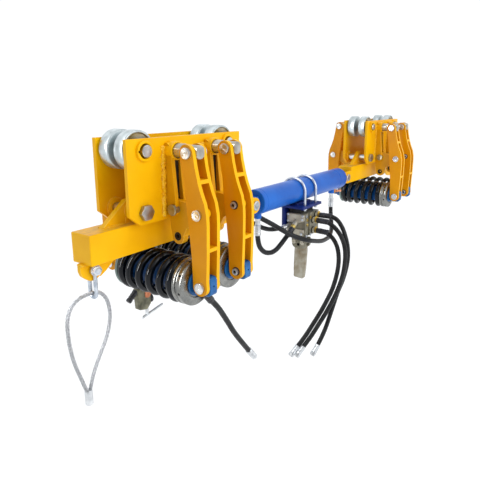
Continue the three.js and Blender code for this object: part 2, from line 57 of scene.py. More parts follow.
camera_data = bpy.data.cameras.new("view")
camera = bpy.data.objects.new("view", camera_data)
bpy.context.collection.objects.link(camera)
camera_data.sensor_width = SENSOR_WIDTH
camera_data.lens = SENSOR_WIDTH * FOCAL_PIXELS / IMAGE_SIZE
camera_data.shift_x = (IMAGE_SIZE / 2 - AXIS_PIXEL[0]) / IMAGE_SIZE
camera_data.shift_y = (AXIS_PIXEL[1] - IMAGE_SIZE / 2) / IMAGE_SIZE
camera_data.clip_end = FAR_LIMIT
ahead = Vector((
    math.sin(YAW) * math.cos(PITCH),
    math.cos(YAW) * math.cos(PITCH),
    -math.sin(PITCH),
))
level = Vector((math.cos(YAW), -math.sin(YAW), 0))
upright = level.cross(ahead)
camera_right = level * math.cos(ROLL) + upright * math.sin(ROLL)
camera_up = upright * math.cos(ROLL) - level * math.sin(ROLL)
facing = Matrix((camera_right, camera_up, -ahead)).transposed()
camera.matrix_world = Matrix.Translation(EYE_PLACE) @ facing.to_4x4()
bpy.context.scene.camera = camera


# Hoses: two-wire hydraulic hose of 18 to 21 mm, black rubber with a fine wrapped texture. They are
# cut to length and crimped, and hang from the valve, the cylinder's ports and a spring unit.
FIRST_AXLE = -1002.5
ROUTE_STEP = 0.006
HOSES = {
    "left_port_hose": (10.5, [
        (641, 0, -301), (641, 0, -330), (641, 0, -354), (652.5, -2, -397), (684, -6, -428.5),
        (727, -12, -440), (756.4, -16, -434.8), (776.3, -19, -424.4), (820, -26, -393.6),
        (853.7, -30, -370.3), (866, -30, -361.6),
    ]),
    "right_port_hose": (10.5, [
        (1306, 0, -301), (1306, 0, -345), (1304, -3, -385), (1292, -14, -425), (1262, -30, -452),
        (1215, -48, -466), (1160, -66, -468), (1115, -78, -462), (1050, -92, -453),
        (1000, -98, -443), (940, -99, -427), (891, -98, -412), (845, -84, -394), (808, -60, -374),
        (782, -32, -352), (757, 2, -326), (728, 24, -304), (690, 38, -280), (640, 50, -250),
        (585, 62, -215), (556, 62, -207), (540.6, 62, -207),
    ]),
    "junction_hose": (10, [
        (868, 5, -361), (850, 5, -361), (828, 12, -360), (780, 26, -356), (735, 34, -342),
        (690, 44, -318), (640, 54, -286), (585, 62, -248), (556, 62, -238), (540.6, 62, -238),
    ]),
    "supply_hose_1": (10, [
        (975, -112.3, -338), (975, -126, -338), (975, -152, -341), (975, -190, -362),
        (975, -222, -400), (975, -240, -450), (973, -243, -510), (966, -238, -570),
        (950, -226, -630), (930, -212, -680), (900, -194, -735), (868, -175, -785),
        (835, -155, -835), (795, -128, -890), (775, -114, -918),
    ]),
    "supply_hose_2": (10, [
        (975, -112.3, -386), (975, -126, -386), (975, -150, -392), (975, -180, -412),
        (973, -203, -448), (969, -214, -500), (960, -213, -560), (940, -203, -630),
        (920, -189, -680), (890, -171, -735), (858, -152, -785), (825, -132, -835),
        (785, -105, -890), (765, -91, -918),
    ]),
    "supply_hose_3": (10, [
        (1001, -112.3, -318), (1001, -126, -318), (1003, -150, -317), (1005, -182, -330),
        (1005, -208, -360), (1005, -226, -400), (1006, -238, -445), (1006, -242, -490),
        (1004, -238, -540), (994, -226, -605), (978, -211, -660), (956, -205, -707),
        (932, -198, -760), (905, -191, -814), (880, -181, -860), (855, -166, -908),
        (843, -158, -930),
    ]),
    "left_brake_hose": (9, [
        (117.2, -175.5, -373.2), (129.8, -175.5, -388.8), (150, -175.5, -412), (180, -175.5, -447),
        (220, -175.5, -505), (256, -175.5, -560), (330, -175.5, -655), (372, -175.5, -705),
    ]),
}
HELD_AT_BOTH_ENDS = ("left_port_hose", "right_port_hose", "junction_hose")
SLEEVE = {"length": 46, "first_wall": 2.8, "last_wall": 2.5, "overlap": 0.0005}
COUPLING = {"length": 40, "nut_length": 17, "nut_wall": 3, "reach": 0.016}
GROOVE = {"shares": (0.3, 0.5, 0.7), "deep": 1.1, "floor": 1.6, "mouth": 3.4}
NUT = {"face": 0.86, "rise": 0.08, "top": 0.92}
TONE_STOPS = (0.32, 0.68)
SPECK_STOPS = (0.66, 0.74)
GRAIN_DEPTH = 0.001
SEAM_GAP = 2e-6


def at(x, y, z):
    """A place counted in millimetres from the left trolley's first axle, in the model's metres."""
    return Vector((x + FIRST_AXLE, y, z)) / 1000


def smooth_route(points, spacing):
    """Places along one smooth centripetal curve through the points, about a spacing apart."""
    ends = [points[0] * 2 - points[1], *points, points[-1] * 2 - points[-2]]
    places = []
    for a, b, c, d in zip(ends, ends[1:], ends[2:], ends[3:]):
        t1 = (b - a).length ** 0.5
        t2 = t1 + (c - b).length ** 0.5
        t3 = t2 + (d - c).length ** 0.5
        count = max(2, round((c - b).length / spacing))
        for i in range(count):
            t = t1 + (t2 - t1) * i / count
            ab = a + (b - a) * (t / t1)
            bc = b + (c - b) * ((t - t1) / (t2 - t1))
            cd = c + (d - c) * ((t - t2) / (t3 - t2))
            abc = ab + (bc - ab) * (t / t2)
            bcd = bc + (cd - bc) * ((t - t1) / (t3 - t1))
            places.append(abc + (bcd - abc) * ((t - t1) / (t2 - t1)))
    places.append(points[-1].copy())
    return places


def pick(*pieces):
    """Selects these pieces and nothing else, with the first one active."""
    bpy.ops.object.select_all(action="DESELECT")
    for piece in pieces:
        piece.select_set(True)
    if pieces:
        bpy.context.view_layer.objects.active = pieces[0]


def feed(owner, node, inputs):
    """Gives each named input of a node its value, or the other node's output that drives it."""
    for socket, value in inputs.items():
        if isinstance(value, bpy.types.NodeSocket):
            owner.node_tree.links.new(value, node.inputs[socket])
        else:
            node.inputs[socket].default_value = value
    return node


def add_node(owner, kind, inputs, **settings):
    """Adds a shader node to a material or to the world."""
    node = owner.node_tree.nodes.new("ShaderNode" + kind)
    for setting, value in settings.items():
        setattr(node, setting, value)
    return feed(owner, node, inputs)


def colour_mix(owner, share, under, over):
    """A colour over another. A mix node names its sockets alike, so they go by number."""
    mix = add_node(owner, "Mix", {0: share, 6: under, 7: (*over, 1)}, data_type="RGBA")
    return mix.outputs[2]


def finish(name, tones, roughness, metallic=0.0, patch=9, grain=500, relief=0.15, gleam=0.3,
           specks=None, spread=0.12):
    """A surface finish: colour drifting between two tones, and a fine grain in gloss and relief.

    gleam is the strength of its reflections. specks is a colour, the size of its patches as a
    noise scale, and how much of it shows.
    """
    material = bpy.data.materials.new(name)
    material.use_nodes = True
    place = add_node(material, "TexCoord", {}).outputs["Object"]
    drift = add_node(material, "TexNoise", {"Vector": place, "Scale": patch, "Detail": 6})
    ramp = add_node(material, "ValToRGB", {"Fac": drift.outputs["Fac"]})
    for element, stop, tone in zip(ramp.color_ramp.elements, TONE_STOPS, tones):
        element.position = stop
        element.color = (*tone, 1)
    colour = ramp.outputs["Color"]
    if specks:
        speck_colour, scale, share = specks
        spots = add_node(material, "TexNoise", {"Vector": place, "Scale": scale, "Detail": 5,
                                                "Roughness": 0.7})
        mask = add_node(material, "MapRange", {"Value": spots.outputs["Fac"],
                                               "From Min": SPECK_STOPS[0] - share,
                                               "From Max": SPECK_STOPS[1] - share})
        colour = colour_mix(material, mask.outputs["Result"], colour, speck_colour)
    fine = add_node(material, "TexNoise", {"Vector": place, "Scale": grain, "Detail": 3})
    gloss = add_node(material, "MapRange", {"Value": fine.outputs["Fac"],
                                            "To Min": max(0.03, roughness - spread),
                                            "To Max": min(1.0, roughness + spread)})
    bump = add_node(material, "Bump", {"Height": fine.outputs["Fac"], "Strength": relief,
                                       "Distance": GRAIN_DEPTH})
    feed(material, material.node_tree.nodes["Principled BSDF"], {
        "Base Color": colour, "Metallic": metallic, "Specular IOR Level": gleam,
        "Roughness": gloss.outputs["Result"], "Normal": bump.outputs["Normal"]})
    return material


hose_rubber = finish("hose_rubber", ((0.006, 0.006, 0.007), (0.018, 0.019, 0.021)), 0.4,
                     patch=26, grain=620, relief=0.3, gleam=0.25,
                     specks=((0.06, 0.06, 0.064), 60, -0.03))
crimp_zinc = finish("crimp_zinc", ((0.5, 0.52, 0.54), (0.74, 0.76, 0.78)), 0.3, metallic=0.9,
                    patch=60, relief=0.1, specks=((0.25, 0.24, 0.22), 120, 0.0))
crimp_dark = finish("crimp_dark", ((0.03, 0.03, 0.033), (0.07, 0.07, 0.075)), 0.4, metallic=0.5,
                    patch=50, relief=0.2)


def line_of(name, places, radius, sides=6):
    """A round bar or hose along a line of places, as a curve object."""
    curve = bpy.data.curves.new(name, "CURVE")
    curve.dimensions = "3D"
    curve.bevel_depth = radius / 1000
    curve.bevel_resolution = sides
    curve.use_fill_caps = True
    spline = curve.splines.new("POLY")
    spline.points.add(len(places) - 1)
    for point, place in zip(spline.points, places):
        point.co = (*place, 1)
    spline.use_smooth = True
    piece = bpy.data.objects.new(name, curve)
    bpy.context.collection.objects.link(piece)
    return piece


def pose_piece(piece, name, body, slot, *finishes):
    """Names a finished piece, puts it on its body and gives it its finishes."""
    piece.name = name
    for i, material in enumerate(finishes):
        if i < len(piece.data.materials):
            piece.data.materials[i] = material
        else:
            piece.data.materials.append(material)
    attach(piece, body)
    return piece


def smooth(piece, degrees=30):
    pick(piece)
    bpy.ops.object.shade_smooth_by_angle(angle=math.radians(degrees))
    return piece


def soften(piece, width, edge=0, segments=1, angle=28, harden=False):
    """Breaks a piece's sharp edges. edge is the material slot of the broken edge."""
    pick(piece)
    bevel = piece.modifiers.new("broken_edges", "BEVEL")
    bevel.width = width / 1000
    bevel.segments = segments
    bevel.limit_method = "ANGLE"
    bevel.angle_limit = math.radians(angle)
    bevel.harden_normals = harden
    if edge:
        bevel.material = edge
    bpy.ops.object.modifier_apply(modifier="broken_edges")
    return piece


def trim(piece, tool, operation="DIFFERENCE"):
    """Cuts or joins a piece with another, which is used up."""
    pick(piece)
    cut = piece.modifiers.new("trim", "BOOLEAN")
    cut.operation = operation
    cut.object = tool
    cut.solver = "EXACT"
    bpy.ops.object.modifier_apply(modifier="trim")
    bpy.data.objects.remove(tool)


def mark_turning(piece):
    """Keeps each corner's turn about the Y axis and its radius, for the marks of a lathe tool."""
    layer = piece.data.uv_layers.new(name="turning")
    for face in piece.data.polygons:
        spots = []
        for loop in face.loop_indices:
            place = piece.data.vertices[piece.data.loops[loop].vertex_index].co
            turn = math.atan2(place.z, place.x) / (2 * math.pi) + 0.5
            spots.append([loop, turn, math.hypot(place.x, place.z) * 10])
        high = max(turn for _, turn, _ in spots)
        for loop, turn, radius in spots:
            layer.data[loop].uv = (turn + 1 if high - turn > 0.5 else turn, radius)


def stand(piece, place, direction):
    """Takes a piece that was made along Y at the origin to its place and direction."""
    turn = Vector((0, 1, 0)).rotation_difference(Vector(direction).normalized())
    piece.data.transform(Matrix.Translation(place) @ turn.to_matrix().to_4x4())


def turned(section, place, direction, steps=40, bevel=0.0, marks=True):
    """A piece turned about an axis: its half section as (radius, along), both in millimetres."""
    pick()
    bpy.ops.mesh.primitive_circle_add(vertices=len(section), fill_type="NOTHING")
    piece = bpy.context.object
    for vertex, (radius, along) in zip(piece.data.vertices, section):
        vertex.co = Vector((radius, along, 0)) / 1000
    bpy.ops.object.mode_set(mode="EDIT")
    bpy.ops.mesh.select_all(action="SELECT")
    bpy.ops.mesh.spin(steps=steps, angle=2 * math.pi, center=(0, 0, 0), axis=(0, 1, 0))
    bpy.ops.mesh.select_all(action="SELECT")
    bpy.ops.mesh.remove_doubles(threshold=SEAM_GAP)
    bpy.ops.mesh.delete_loose(use_verts=True, use_edges=True, use_faces=False)
    bpy.ops.mesh.select_all(action="SELECT")
    bpy.ops.mesh.normals_make_consistent(inside=False)
    bpy.ops.object.mode_set(mode="OBJECT")
    if bevel:
        soften(piece, bevel)
    if marks:
        mark_turning(piece)
    smooth(piece)
    stand(piece, place, direction)
    return piece


def sleeve(start, direction, length, radius, material, name, body, slot):
    """A sleeve crimped over a hose's end, with the grooves that the jaws leave."""
    grooves = []
    for share in GROOVE["shares"]:
        middle, inner = length * share, radius - GROOVE["deep"]
        grooves += [(radius, middle - GROOVE["mouth"]), (inner, middle - GROOVE["floor"]),
                    (inner, middle + GROOVE["floor"]), (radius, middle + GROOVE["mouth"])]
    section = [(0, 0), (radius - 1.5, 0), (radius, 1.5), *grooves, (radius, length - 2),
               (radius - 2, length), (0, length)]
    return pose_piece(turned(section, start, direction, 28), name, body, slot, material)


def hex_nut(start, direction, length, radius, material, name, body, slot):
    """A six-sided nut or bolt head with turned corners."""
    face = radius * NUT["face"]
    section = [(0, 0), (face, 0), (radius, radius * NUT["rise"]), (radius, length * NUT["top"]),
               (face, length), (0, length)]
    piece = turned(section, (0, 0, 0), (0, 1, 0), 36, marks=False)
    pick()
    bpy.ops.mesh.primitive_cylinder_add(vertices=6, radius=radius / 1000, depth=0.4,
                                        rotation=(math.pi / 2, 0, 0))
    trim(piece, bpy.context.object, "INTERSECT")
    mark_turning(piece)
    smooth(piece, 25)
    stand(piece, start, direction)
    return pose_piece(piece, name, body, slot, material)


for name, (radius, route) in HOSES.items():
    places = smooth_route([at(*point) for point in route], ROUTE_STEP)
    body = "left_release_rod_1" if name == "left_brake_hose" else "left_trolley"
    hose = pose_piece(line_of(f"{name}_rubber", places, radius), f"{name}_rubber", body,
                      "black_rubber", hose_rubber)
    start, stop = places[0], places[-1]
    out, back = (places[3] - start).normalized(), (places[-4] - stop).normalized()
    held = name in HELD_AT_BOTH_ENDS
    ends = [
        ("first", start - out * SLEEVE["overlap"], out, SLEEVE["length"],
         SLEEVE["first_wall"], crimp_zinc if held else crimp_dark),
        ("last", stop - back * (SLEEVE["overlap"] if held else -COUPLING["reach"]), back,
         SLEEVE["length"] if held else COUPLING["length"],
         SLEEVE["last_wall"], crimp_dark if held else crimp_zinc),
    ]
    extra = [sleeve(place, way, length, radius + wall, metal, f"{name}_{word}_sleeve", body,
                    "zinc_steel")
             for word, place, way, length, wall, metal in ends]
    if not held:
        extra.append(hex_nut(stop, back, COUPLING["nut_length"], radius + COUPLING["nut_wall"],
                             crimp_zinc, f"{name}_coupling_nut", body, "zinc_steel"))
    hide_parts(name)


# Tow rope: a loop of six-strand steel wire rope of 10 mm, hung in the shackle, its two ends pressed
# side by side into one ferrule. It swings with the shackle.
ROPE_RADIUS = 5
ROPE_STRANDS = 6
ROPE_LAY = 0.064
ROPE_STEP = 0.004
ROPE_ROUTE = [
    (-183.5, 0, -602), (-196, 1, -560), (-210, 3, -510), (-217, 5, -470), (-221, 6, -420),
    (-218, 7, -376), (-205, 6, -345), (-182, 3, -328), (-140, 0, -324.5), (-122, -1, -330),
    (-104, -3, -352), (-95, -4, -390), (-98, -4, -430), (-112, -4, -470), (-139, -2, -520),
    (-160, 0, -565), (-172.5, 0, -602),
]
FERRULE = {"x": -178, "r": 11, "neck": 9, "top": -600, "bottom": -645}
LOBE = {"low": 0.76, "rise": 0.3, "corners": 6}

rope_wire = finish("rope_wire", ((0.26, 0.27, 0.29), (0.62, 0.63, 0.65)), 0.34, metallic=0.85,
                   patch=300, grain=1800, relief=0.5, specks=((0.12, 0.11, 0.1), 260, 0.03))


def laid_rope(name, places, radius, strands, lay):
    """A rope's surface: a lobed section that turns once in each lay length along the places."""
    around = strands * LOBE["corners"]
    corners, faces = [], []
    gone = 0.0
    side = Vector((0, 1, 0))
    for i, place in enumerate(places):
        ahead = places[min(i + 1, len(places) - 1)] - places[max(i - 1, 0)]
        ahead.normalize()
        side = (side - ahead * side.dot(ahead)).normalized()
        across = ahead.cross(side)
        if i:
            gone += (place - places[i - 1]).length
        for j in range(around):
            turn = 2 * math.pi * j / around
            lobe = abs(math.cos(strands * turn / 2))
            out = radius / 1000 * (LOBE["low"] + LOBE["rise"] * lobe)
            swing = turn + 2 * math.pi * gone / lay
            corners.append(place + (side * math.cos(swing) + across * math.sin(swing)) * out)
        if i:
            base, last = i * around, (i - 1) * around
            for j in range(around):
                k = (j + 1) % around
                faces.append((last + j, last + k, base + k, base + j))
    faces.append(tuple(range(around))[::-1])
    faces.append(tuple(range(len(corners) - around, len(corners))))
    mesh = bpy.data.meshes.new(name)
    mesh.from_pydata(corners, [], faces)
    mesh.update()
    piece = bpy.data.objects.new(name, mesh)
    bpy.context.collection.objects.link(piece)
    pick(piece)
    bpy.ops.object.mode_set(mode="EDIT")
    bpy.ops.mesh.select_all(action="SELECT")
    bpy.ops.mesh.normals_make_consistent(inside=False)
    bpy.ops.object.mode_set(mode="OBJECT")
    return smooth(piece, 50)


rope_places = smooth_route([at(*point) for point in ROPE_ROUTE], ROPE_STEP)
tow_rope = pose_piece(laid_rope("tow_rope", rope_places, ROPE_RADIUS, ROPE_STRANDS, ROPE_LAY),
                      "tow_rope", "tow_shackle", "zinc_steel", rope_wire)
ferrule_length = FERRULE["top"] - FERRULE["bottom"]
ferrule_section = [(0, 0), (FERRULE["neck"], 0), (FERRULE["r"], 3),
                   (FERRULE["r"], ferrule_length - 5), (FERRULE["neck"], ferrule_length),
                   (0, ferrule_length)]
rope_ferrule = pose_piece(
    turned(ferrule_section, at(FERRULE["x"], 0, FERRULE["bottom"]), (0, 0, 1), 32),
    "tow_rope_ferrule", "tow_shackle", "zinc_steel", crimp_zinc)
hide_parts("tow_rope_loop")


# Side plates: four 12 mm steel plates, flame cut, with two cut-off corners below, welded up with
# their axle rings and cross-pin bosses and painted golden yellow. Their broken edges are lighter,
# a painted highlight, with dark specks of wear where bare metal shows.
TROLLEYS = (("left", 0), ("right", 1645))
ROWS = ("far", "near")
WHEEL_X = (0, 360)
WHEEL_Z = 57
STATION_X = (101, 269)
CROSS_PIN_X = (-5, 365)
CROSS_PIN_Z = -115
THRUST_Z = 52
PLATE_OUTLINE = [(-60, -119), (-23, -150), (393, -150), (430, -119), (430, 91), (-60, 91)]
PLATE_IN, PLATE_OUT = 58, 70
PLATE_MIDDLE = (PLATE_IN + PLATE_OUT) / 2
PLATE_HOLES = ((STATION_X, THRUST_Z, 22), (WHEEL_X, WHEEL_Z, 21), (CROSS_PIN_X, CROSS_PIN_Z, 15.5))
RING_SECTION = [(21, -2), (28.8, -2), (28.8, 8), (27.8, 9), (22, 9), (21, 8)]
RING_NOTCH = ((-26, -18), (3, 20), (-4, 3))  # along the car, out from the plate, up
BOSS_IN = 44
BOSS_SECTION = [(15.5, 7), (25, 7), (27, 8.5), (27, 16), (15.5, 16)]
BOSS_WELD = {"ring": 28, "out": 57, "r": 2.6, "step": 0.003, "lump": 0.0016, "lump_scale": 220}
ARC_STEP = 9
# SHADED_FACE: how squarely a face must look along the car to take a darker copy of the paint,
# painted shade.
SHADED_FACE = 0.97

golden_paint = finish("golden_paint", ((0.84, 0.415, 0.0005), (0.94, 0.51, 0.001)), 0.36, patch=7,
                      grain=420, relief=0.12, gleam=0.14, specks=((0.42, 0.17, 0.01), 34, -0.04))
# golden_edge_wear_and_highlight: lighter than the paint, a painted highlight along the broken
# edges, with dark specks of wear.
golden_edge_wear_and_highlight = finish("golden_edge_wear_and_highlight", ((0.93, 0.5, 0.01), (1.0, 0.64, 0.06)), 0.4, patch=50,
                     grain=300, relief=0.3, gleam=0.3, specks=((0.1, 0.07, 0.04), 55, -0.02))
# weld_paint_highlight: golden paint lighter than on the plates, a painted highlight on the lumpy
# beads, with dark specks.
weld_paint_highlight = finish("weld_paint_highlight", ((0.8, 0.39, 0.002), (0.97, 0.58, 0.02)), 0.3, patch=120,
                    grain=300, relief=0.5, gleam=0.35, specks=((0.3, 0.14, 0.02), 90, 0.0))


def plate_of(outline, low, high, along):
    """A flat plate: an outline in side view (along Y) or in end view (along X), drawn out."""
    pick()
    bpy.ops.mesh.primitive_circle_add(vertices=len(outline), fill_type="NGON")
    piece = bpy.context.object
    for vertex, (u, v) in zip(piece.data.vertices, outline):
        vertex.co = at(u, low, v) if along == "Y" else at(low, u, v)
    bpy.ops.object.mode_set(mode="EDIT")
    bpy.ops.mesh.select_all(action="SELECT")
    thick = (high - low) / 1000
    way = (0, thick, 0) if along == "Y" else (thick, 0, 0)
    bpy.ops.mesh.extrude_region_move(TRANSFORM_OT_translate={"value": way})
    bpy.ops.mesh.select_all(action="SELECT")
    bpy.ops.mesh.normals_make_consistent(inside=False)
    bpy.ops.object.mode_set(mode="OBJECT")
    return piece


def arc(u, v, r, start, stop):
    """Points on an arc in degrees, for a plate's outline."""
    count = max(1, round(abs(stop - start) / ARC_STEP))
    turns = [math.radians(start + (stop - start) * i / count) for i in range(count + 1)]
    return [(u + r * math.cos(turn), v + r * math.sin(turn)) for turn in turns]


def drill(piece, places, radius, along, depth=0.5, sides=40):
    """Bores round holes through a piece at places in the model's metres."""
    turn = {"X": (0, math.pi / 2, 0), "Y": (math.pi / 2, 0, 0), "Z": (0, 0, 0)}[along]
    for place in places:
        pick()
        bpy.ops.mesh.primitive_cylinder_add(vertices=sides, radius=radius / 1000, depth=depth,
                                            location=place, rotation=turn)
        trim(piece, bpy.context.object)


def block_of(x0, x1, y0, y1, z0, z1):
    """A plain block between two corners, as the start of a piece."""
    return plate_of([(x0, z0), (x1, z0), (x1, z1), (x0, z1)], y0, y1, "Y")


def joined(*parts):
    """Several meshes as one piece."""
    pick(*parts)
    bpy.ops.object.join()
    return bpy.context.object


def copy_of(piece, shift, mirrored):
    """A copy with its own mesh, moved along the car, and turned over to the near side."""
    twin = piece.copy()
    twin.data = piece.data.copy()
    bpy.context.collection.objects.link(twin)
    twin.data.transform(Matrix.Translation((shift / 1000, 0, 0)))
    if mirrored:
        twin.data.transform(Matrix.Scale(-1, 4, (0, 1, 0)))
        twin.data.flip_normals()
    return twin


def bar_of(places, radius, sides):
    """A round bar along a line of places, as a mesh."""
    pick(line_of("bar", places, radius, sides))
    bpy.ops.object.convert(target="MESH")
    return bpy.context.object


def painted(piece, width, shade_paint=None):
    """Golden paint with a painted highlight and wear on its broken edges. Faces that look along the
    car may take a darker copy of it, painted shade.
    """
    for material in filter(None, (golden_paint, golden_edge_wear_and_highlight, shade_paint)):
        piece.data.materials.append(material)
    soften(piece, width, edge=1)
    # Faces that look along the car take the darker copy, painted shade.
    for face in piece.data.polygons:
        if shade_paint and abs(face.normal.x) > SHADED_FACE:
            face.material_index = 2
    return smooth(piece)


def place_all(template, name, slot, finishes, body, rows=ROWS, spots=(0,), replaced=None):
    """Puts copies of a piece on both trolleys, both sides and each spot, and uses up the piece."""
    for end, shift in TROLLEYS:
        for row in rows:
            for i, spot in enumerate(spots, 1):
                words = {"end": end, "row": row, "i": i}
                twin = copy_of(template, shift + spot - spots[0], row == "near")
                pose_piece(twin, name.format(**words), body.format(**words), slot, *finishes)
                if replaced:
                    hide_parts(replaced.format(**words))
    bpy.data.objects.remove(template)


plate = plate_of(PLATE_OUTLINE, PLATE_IN, PLATE_OUT, "Y")
for line, z, radius in PLATE_HOLES:
    drill(plate, [at(x, PLATE_MIDDLE, z) for x in line], radius, "Y")
painted(plate, 1.3)
rings = []
for x in WHEEL_X:
    ring = turned(RING_SECTION, at(x, PLATE_OUT, WHEEL_Z), (0, 1, 0), 48, bevel=0.4)
    (left, right), (near, far), (low, high) = RING_NOTCH
    trim(ring, block_of(x + left, x + right, PLATE_OUT + near, PLATE_OUT + far, WHEEL_Z + low,
                        WHEEL_Z + high))
    rings.append(smooth(ring))
for x in CROSS_PIN_X:
    rings.append(turned(BOSS_SECTION, at(x, BOSS_IN, CROSS_PIN_Z), (0, 1, 0), 40, bevel=0.5))
circles = [[at(x + u, BOSS_WELD["out"], CROSS_PIN_Z + w)
            for u, w in arc(0, 0, BOSS_WELD["ring"], 0, 360)] for x in CROSS_PIN_X]
boss_welds = joined(*[bar_of(smooth_route(circle, BOSS_WELD["step"]), BOSS_WELD["r"], 3)
                      for circle in circles])
for vertex in boss_welds.data.vertices:
    lump = noise.noise(vertex.co * BOSS_WELD["lump_scale"]) * BOSS_WELD["lump"]
    vertex.co += Vector((1, 1, 1)) * lump
place_all(plate, "{end}_{row}_plate", "yellow_paint", (golden_paint, golden_edge_wear_and_highlight),
          "{end}_trolley", replaced="{end}_{row}_side_plate")
place_all(joined(*rings), "{end}_{row}_plate_rings", "yellow_paint", (golden_paint,),
          "{end}_trolley")
place_all(boss_welds, "{end}_{row}_boss_welds", "yellow_paint", (weld_paint_highlight,), "{end}_trolley")


# Axle ends: turned steel stubs of 34 mm that stand out of the plate's rings and carry the wheels.
# They stay bare, with the fine rings of the lathe tool on their ends.
AXLE_SECTION = [(0, 11), (17, 11), (17, 84.5), (15.5, 86), (2.2, 86), (0, 84)]
TOOL_MARK_DEPTH = 0.0004


def turned_steel(name, tones, roughness, rings=340, relief=0.35, specks=None):
    """Bare steel from the lathe: its marks follow the radius kept on the mesh, and its sheen the
    direction that the tool went round."""
    material = finish(name, tones, roughness, metallic=1.0, patch=40, grain=300, relief=0.0,
                      specks=specks, spread=0.08)
    marks = add_node(material, "UVMap", {}, uv_map="turning")
    apart = add_node(material, "SeparateXYZ", {"Vector": marks.outputs["UV"]})
    cut = add_node(material, "TexNoise", {"W": apart.outputs["Y"], "Scale": rings, "Detail": 2},
                   noise_dimensions="1D")
    bump = add_node(material, "Bump", {"Height": cut.outputs["Fac"], "Strength": relief,
                                       "Distance": TOOL_MARK_DEPTH})
    tangent = add_node(material, "Tangent", {}, direction_type="UV_MAP", uv_map="turning")
    feed(material, material.node_tree.nodes["Principled BSDF"], {
        "Normal": bump.outputs["Normal"], "Tangent": tangent.outputs["Tangent"],
        "Anisotropic": 0.65})
    return material


bright_steel = turned_steel("bright_steel", ((0.46, 0.48, 0.5), (0.68, 0.71, 0.73)), 0.3,
                            specks=((0.24, 0.21, 0.17), 90, -0.03))
axle = turned(AXLE_SECTION, at(0, 0, WHEEL_Z), (0, 1, 0), 48)
place_all(axle, "{end}_{row}_axle_{i}", "machined_steel", (bright_steel,), "{end}_trolley",
          spots=WHEEL_X)


# Wheels: eight turned and zinc-plated steel wheels of 114 mm, with a recessed web and a rolled rim.
# They turn on the axle stubs and carry the whole car.
WHEEL_SECTION = [(17.6, 12), (54, 12), (57, 15), (57, 47.5), (54.5, 50), (50, 50), (47.5, 46.5),
                 (31, 46.5), (29, 50), (17.6, 50)]
wheel_zinc = turned_steel("wheel_zinc", ((0.4, 0.45, 0.46), (0.62, 0.68, 0.7)), 0.36, rings=120,
                          relief=0.25, specks=((0.2, 0.22, 0.2), 60, 0.0))
wheel = turned(WHEEL_SECTION, at(0, 0, WHEEL_Z), (0, 1, 0), 64, bevel=0.5)
place_all(wheel, "{end}_{row}_wheel_{i}_zinc", "zinc_steel", (wheel_zinc,),
          "{end}_{row}_wheel_{i}", spots=WHEEL_X, replaced="{end}_{row}_wheel_{i}")


# Brake brackets: two cheeks of 14 mm and a bored nose on each side plate, with a fulcrum bar
# between them that ends in a holed lug. A near-black block in the slot above it is painted shade,
# and a near-black bush fills the lug's hole as painted shade. All are welded on, with a lumpy
# hand-laid bead and spatter beside it.
NOSE_SECTION = [(22, -2), (27.5, -2), (27.5, 29.5), (26, 31), (23.2, 31), (22, 29.8)]
CHEEK_OUTLINE = [(68, 52), *arc(73, 52, 23, 90, 20), (96.5, 17), (102, -46), (105.5, -82),
                 (106.5, -115), *arc(93, -124, 13, -20, -70), (84, -138), (68, -138)]
CHEEKS = ((-24, -10.3), (10.3, 24))
FULCRUM_OUTLINE = [(69, -92), (108, -92), (182, -104), *arc(195, -122, 16, 96, -66),
                   (182, -143), (134, -175), *arc(98, -203, 24, 12, -172), (69, -170)]
LUG_HOLE = {"out": 97.5, "z": -203, "r": 13, "sides": 32}
PIVOT_HOLE = {"out": 195, "z": -122, "r": 11, "sides": 28}
NOSE_HOLE = {"out": 80, "r": 27}
FULCRUM_HALF = 10.4
LUG_SHADE = {"r": 12.8, "half": 10.9, "bore": 6.5}
# SLOT_SHADE: a near-black block in the slot between the cheeks, painted shade.
SLOT_SHADE = {"half": 10.1, "in": 69.5, "out": 91, "bottom": -90, "top": 24}
BEAD_LINES = (
    ([(-29, 70.5, 66), (-31, 70.5, 10), (-33, 70.5, -60), (-34, 70.5, -140)], 7.4),
    ([(25.5, 71, 50), (25, 71, -40), (25.5, 71, -136)], 3.6),
)
BEAD = {"step": 0.0016, "drop": 0.0055, "ripple": 0.28, "lump": 0.7, "coarse": 130, "fine": 330,
        "fine_share": 0.8}
SPATTER = {"drops": 60, "middle": -33, "spread": 12, "out": 70.3, "bottom": -140, "top": 72,
           "smallest": 0.0008, "largest": 0.0021}
# bracket_painted_shade: a darker copy of the golden paint on the faces of the cheeks and fulcrum
# that look along the car, painted shade.
bracket_painted_shade = finish("bracket_painted_shade", ((0.6, 0.27, 0.0005), (0.72, 0.35, 0.001)), 0.4, patch=9,
                       grain=420, relief=0.14, gleam=0.2, specks=((0.3, 0.12, 0.01), 40, -0.03))
# painted_shade_black: near-black, painted shade for the slot block and the lug's hole.
painted_shade_black = finish("painted_shade_black", ((0.012, 0.009, 0.005), (0.035, 0.024, 0.01)), 0.7, patch=30,
                     grain=240, relief=0.4, gleam=0.15)


def disc(radius, low, high, bore=0):
    """The half section of a plain round bar, disc or ring."""
    return [(bore, low), (radius, low), (radius, high), (bore, high)]


def bead(places, radius, seed, flat=1.0):
    """A weld bead along a line: a round bar swollen and pinched by each drop of metal.

    flat is how high it stands off the plates along Y, as a share of its width.
    """
    piece = bar_of(smooth_route(places, BEAD["step"]), radius, 3)
    start, ahead = places[0], (places[-1] - places[0]).normalized()
    for vertex in piece.data.vertices:
        gone = (vertex.co - start).dot(ahead)
        ripple = abs(math.sin(math.pi * gone / BEAD["drop"])) - 0.5
        lump = noise.noise(vertex.co * BEAD["coarse"] + Vector((seed, 0, 0)))
        lump += BEAD["fine_share"] * noise.noise(vertex.co * BEAD["fine"] + Vector((0, seed, 0)))
        middle = start + ahead * gone
        vertex.co += (vertex.co - middle) * (BEAD["ripple"] * ripple + BEAD["lump"] * lump)
        vertex.co.y = start.y + (vertex.co.y - start.y) * flat
    return smooth(piece, 60)


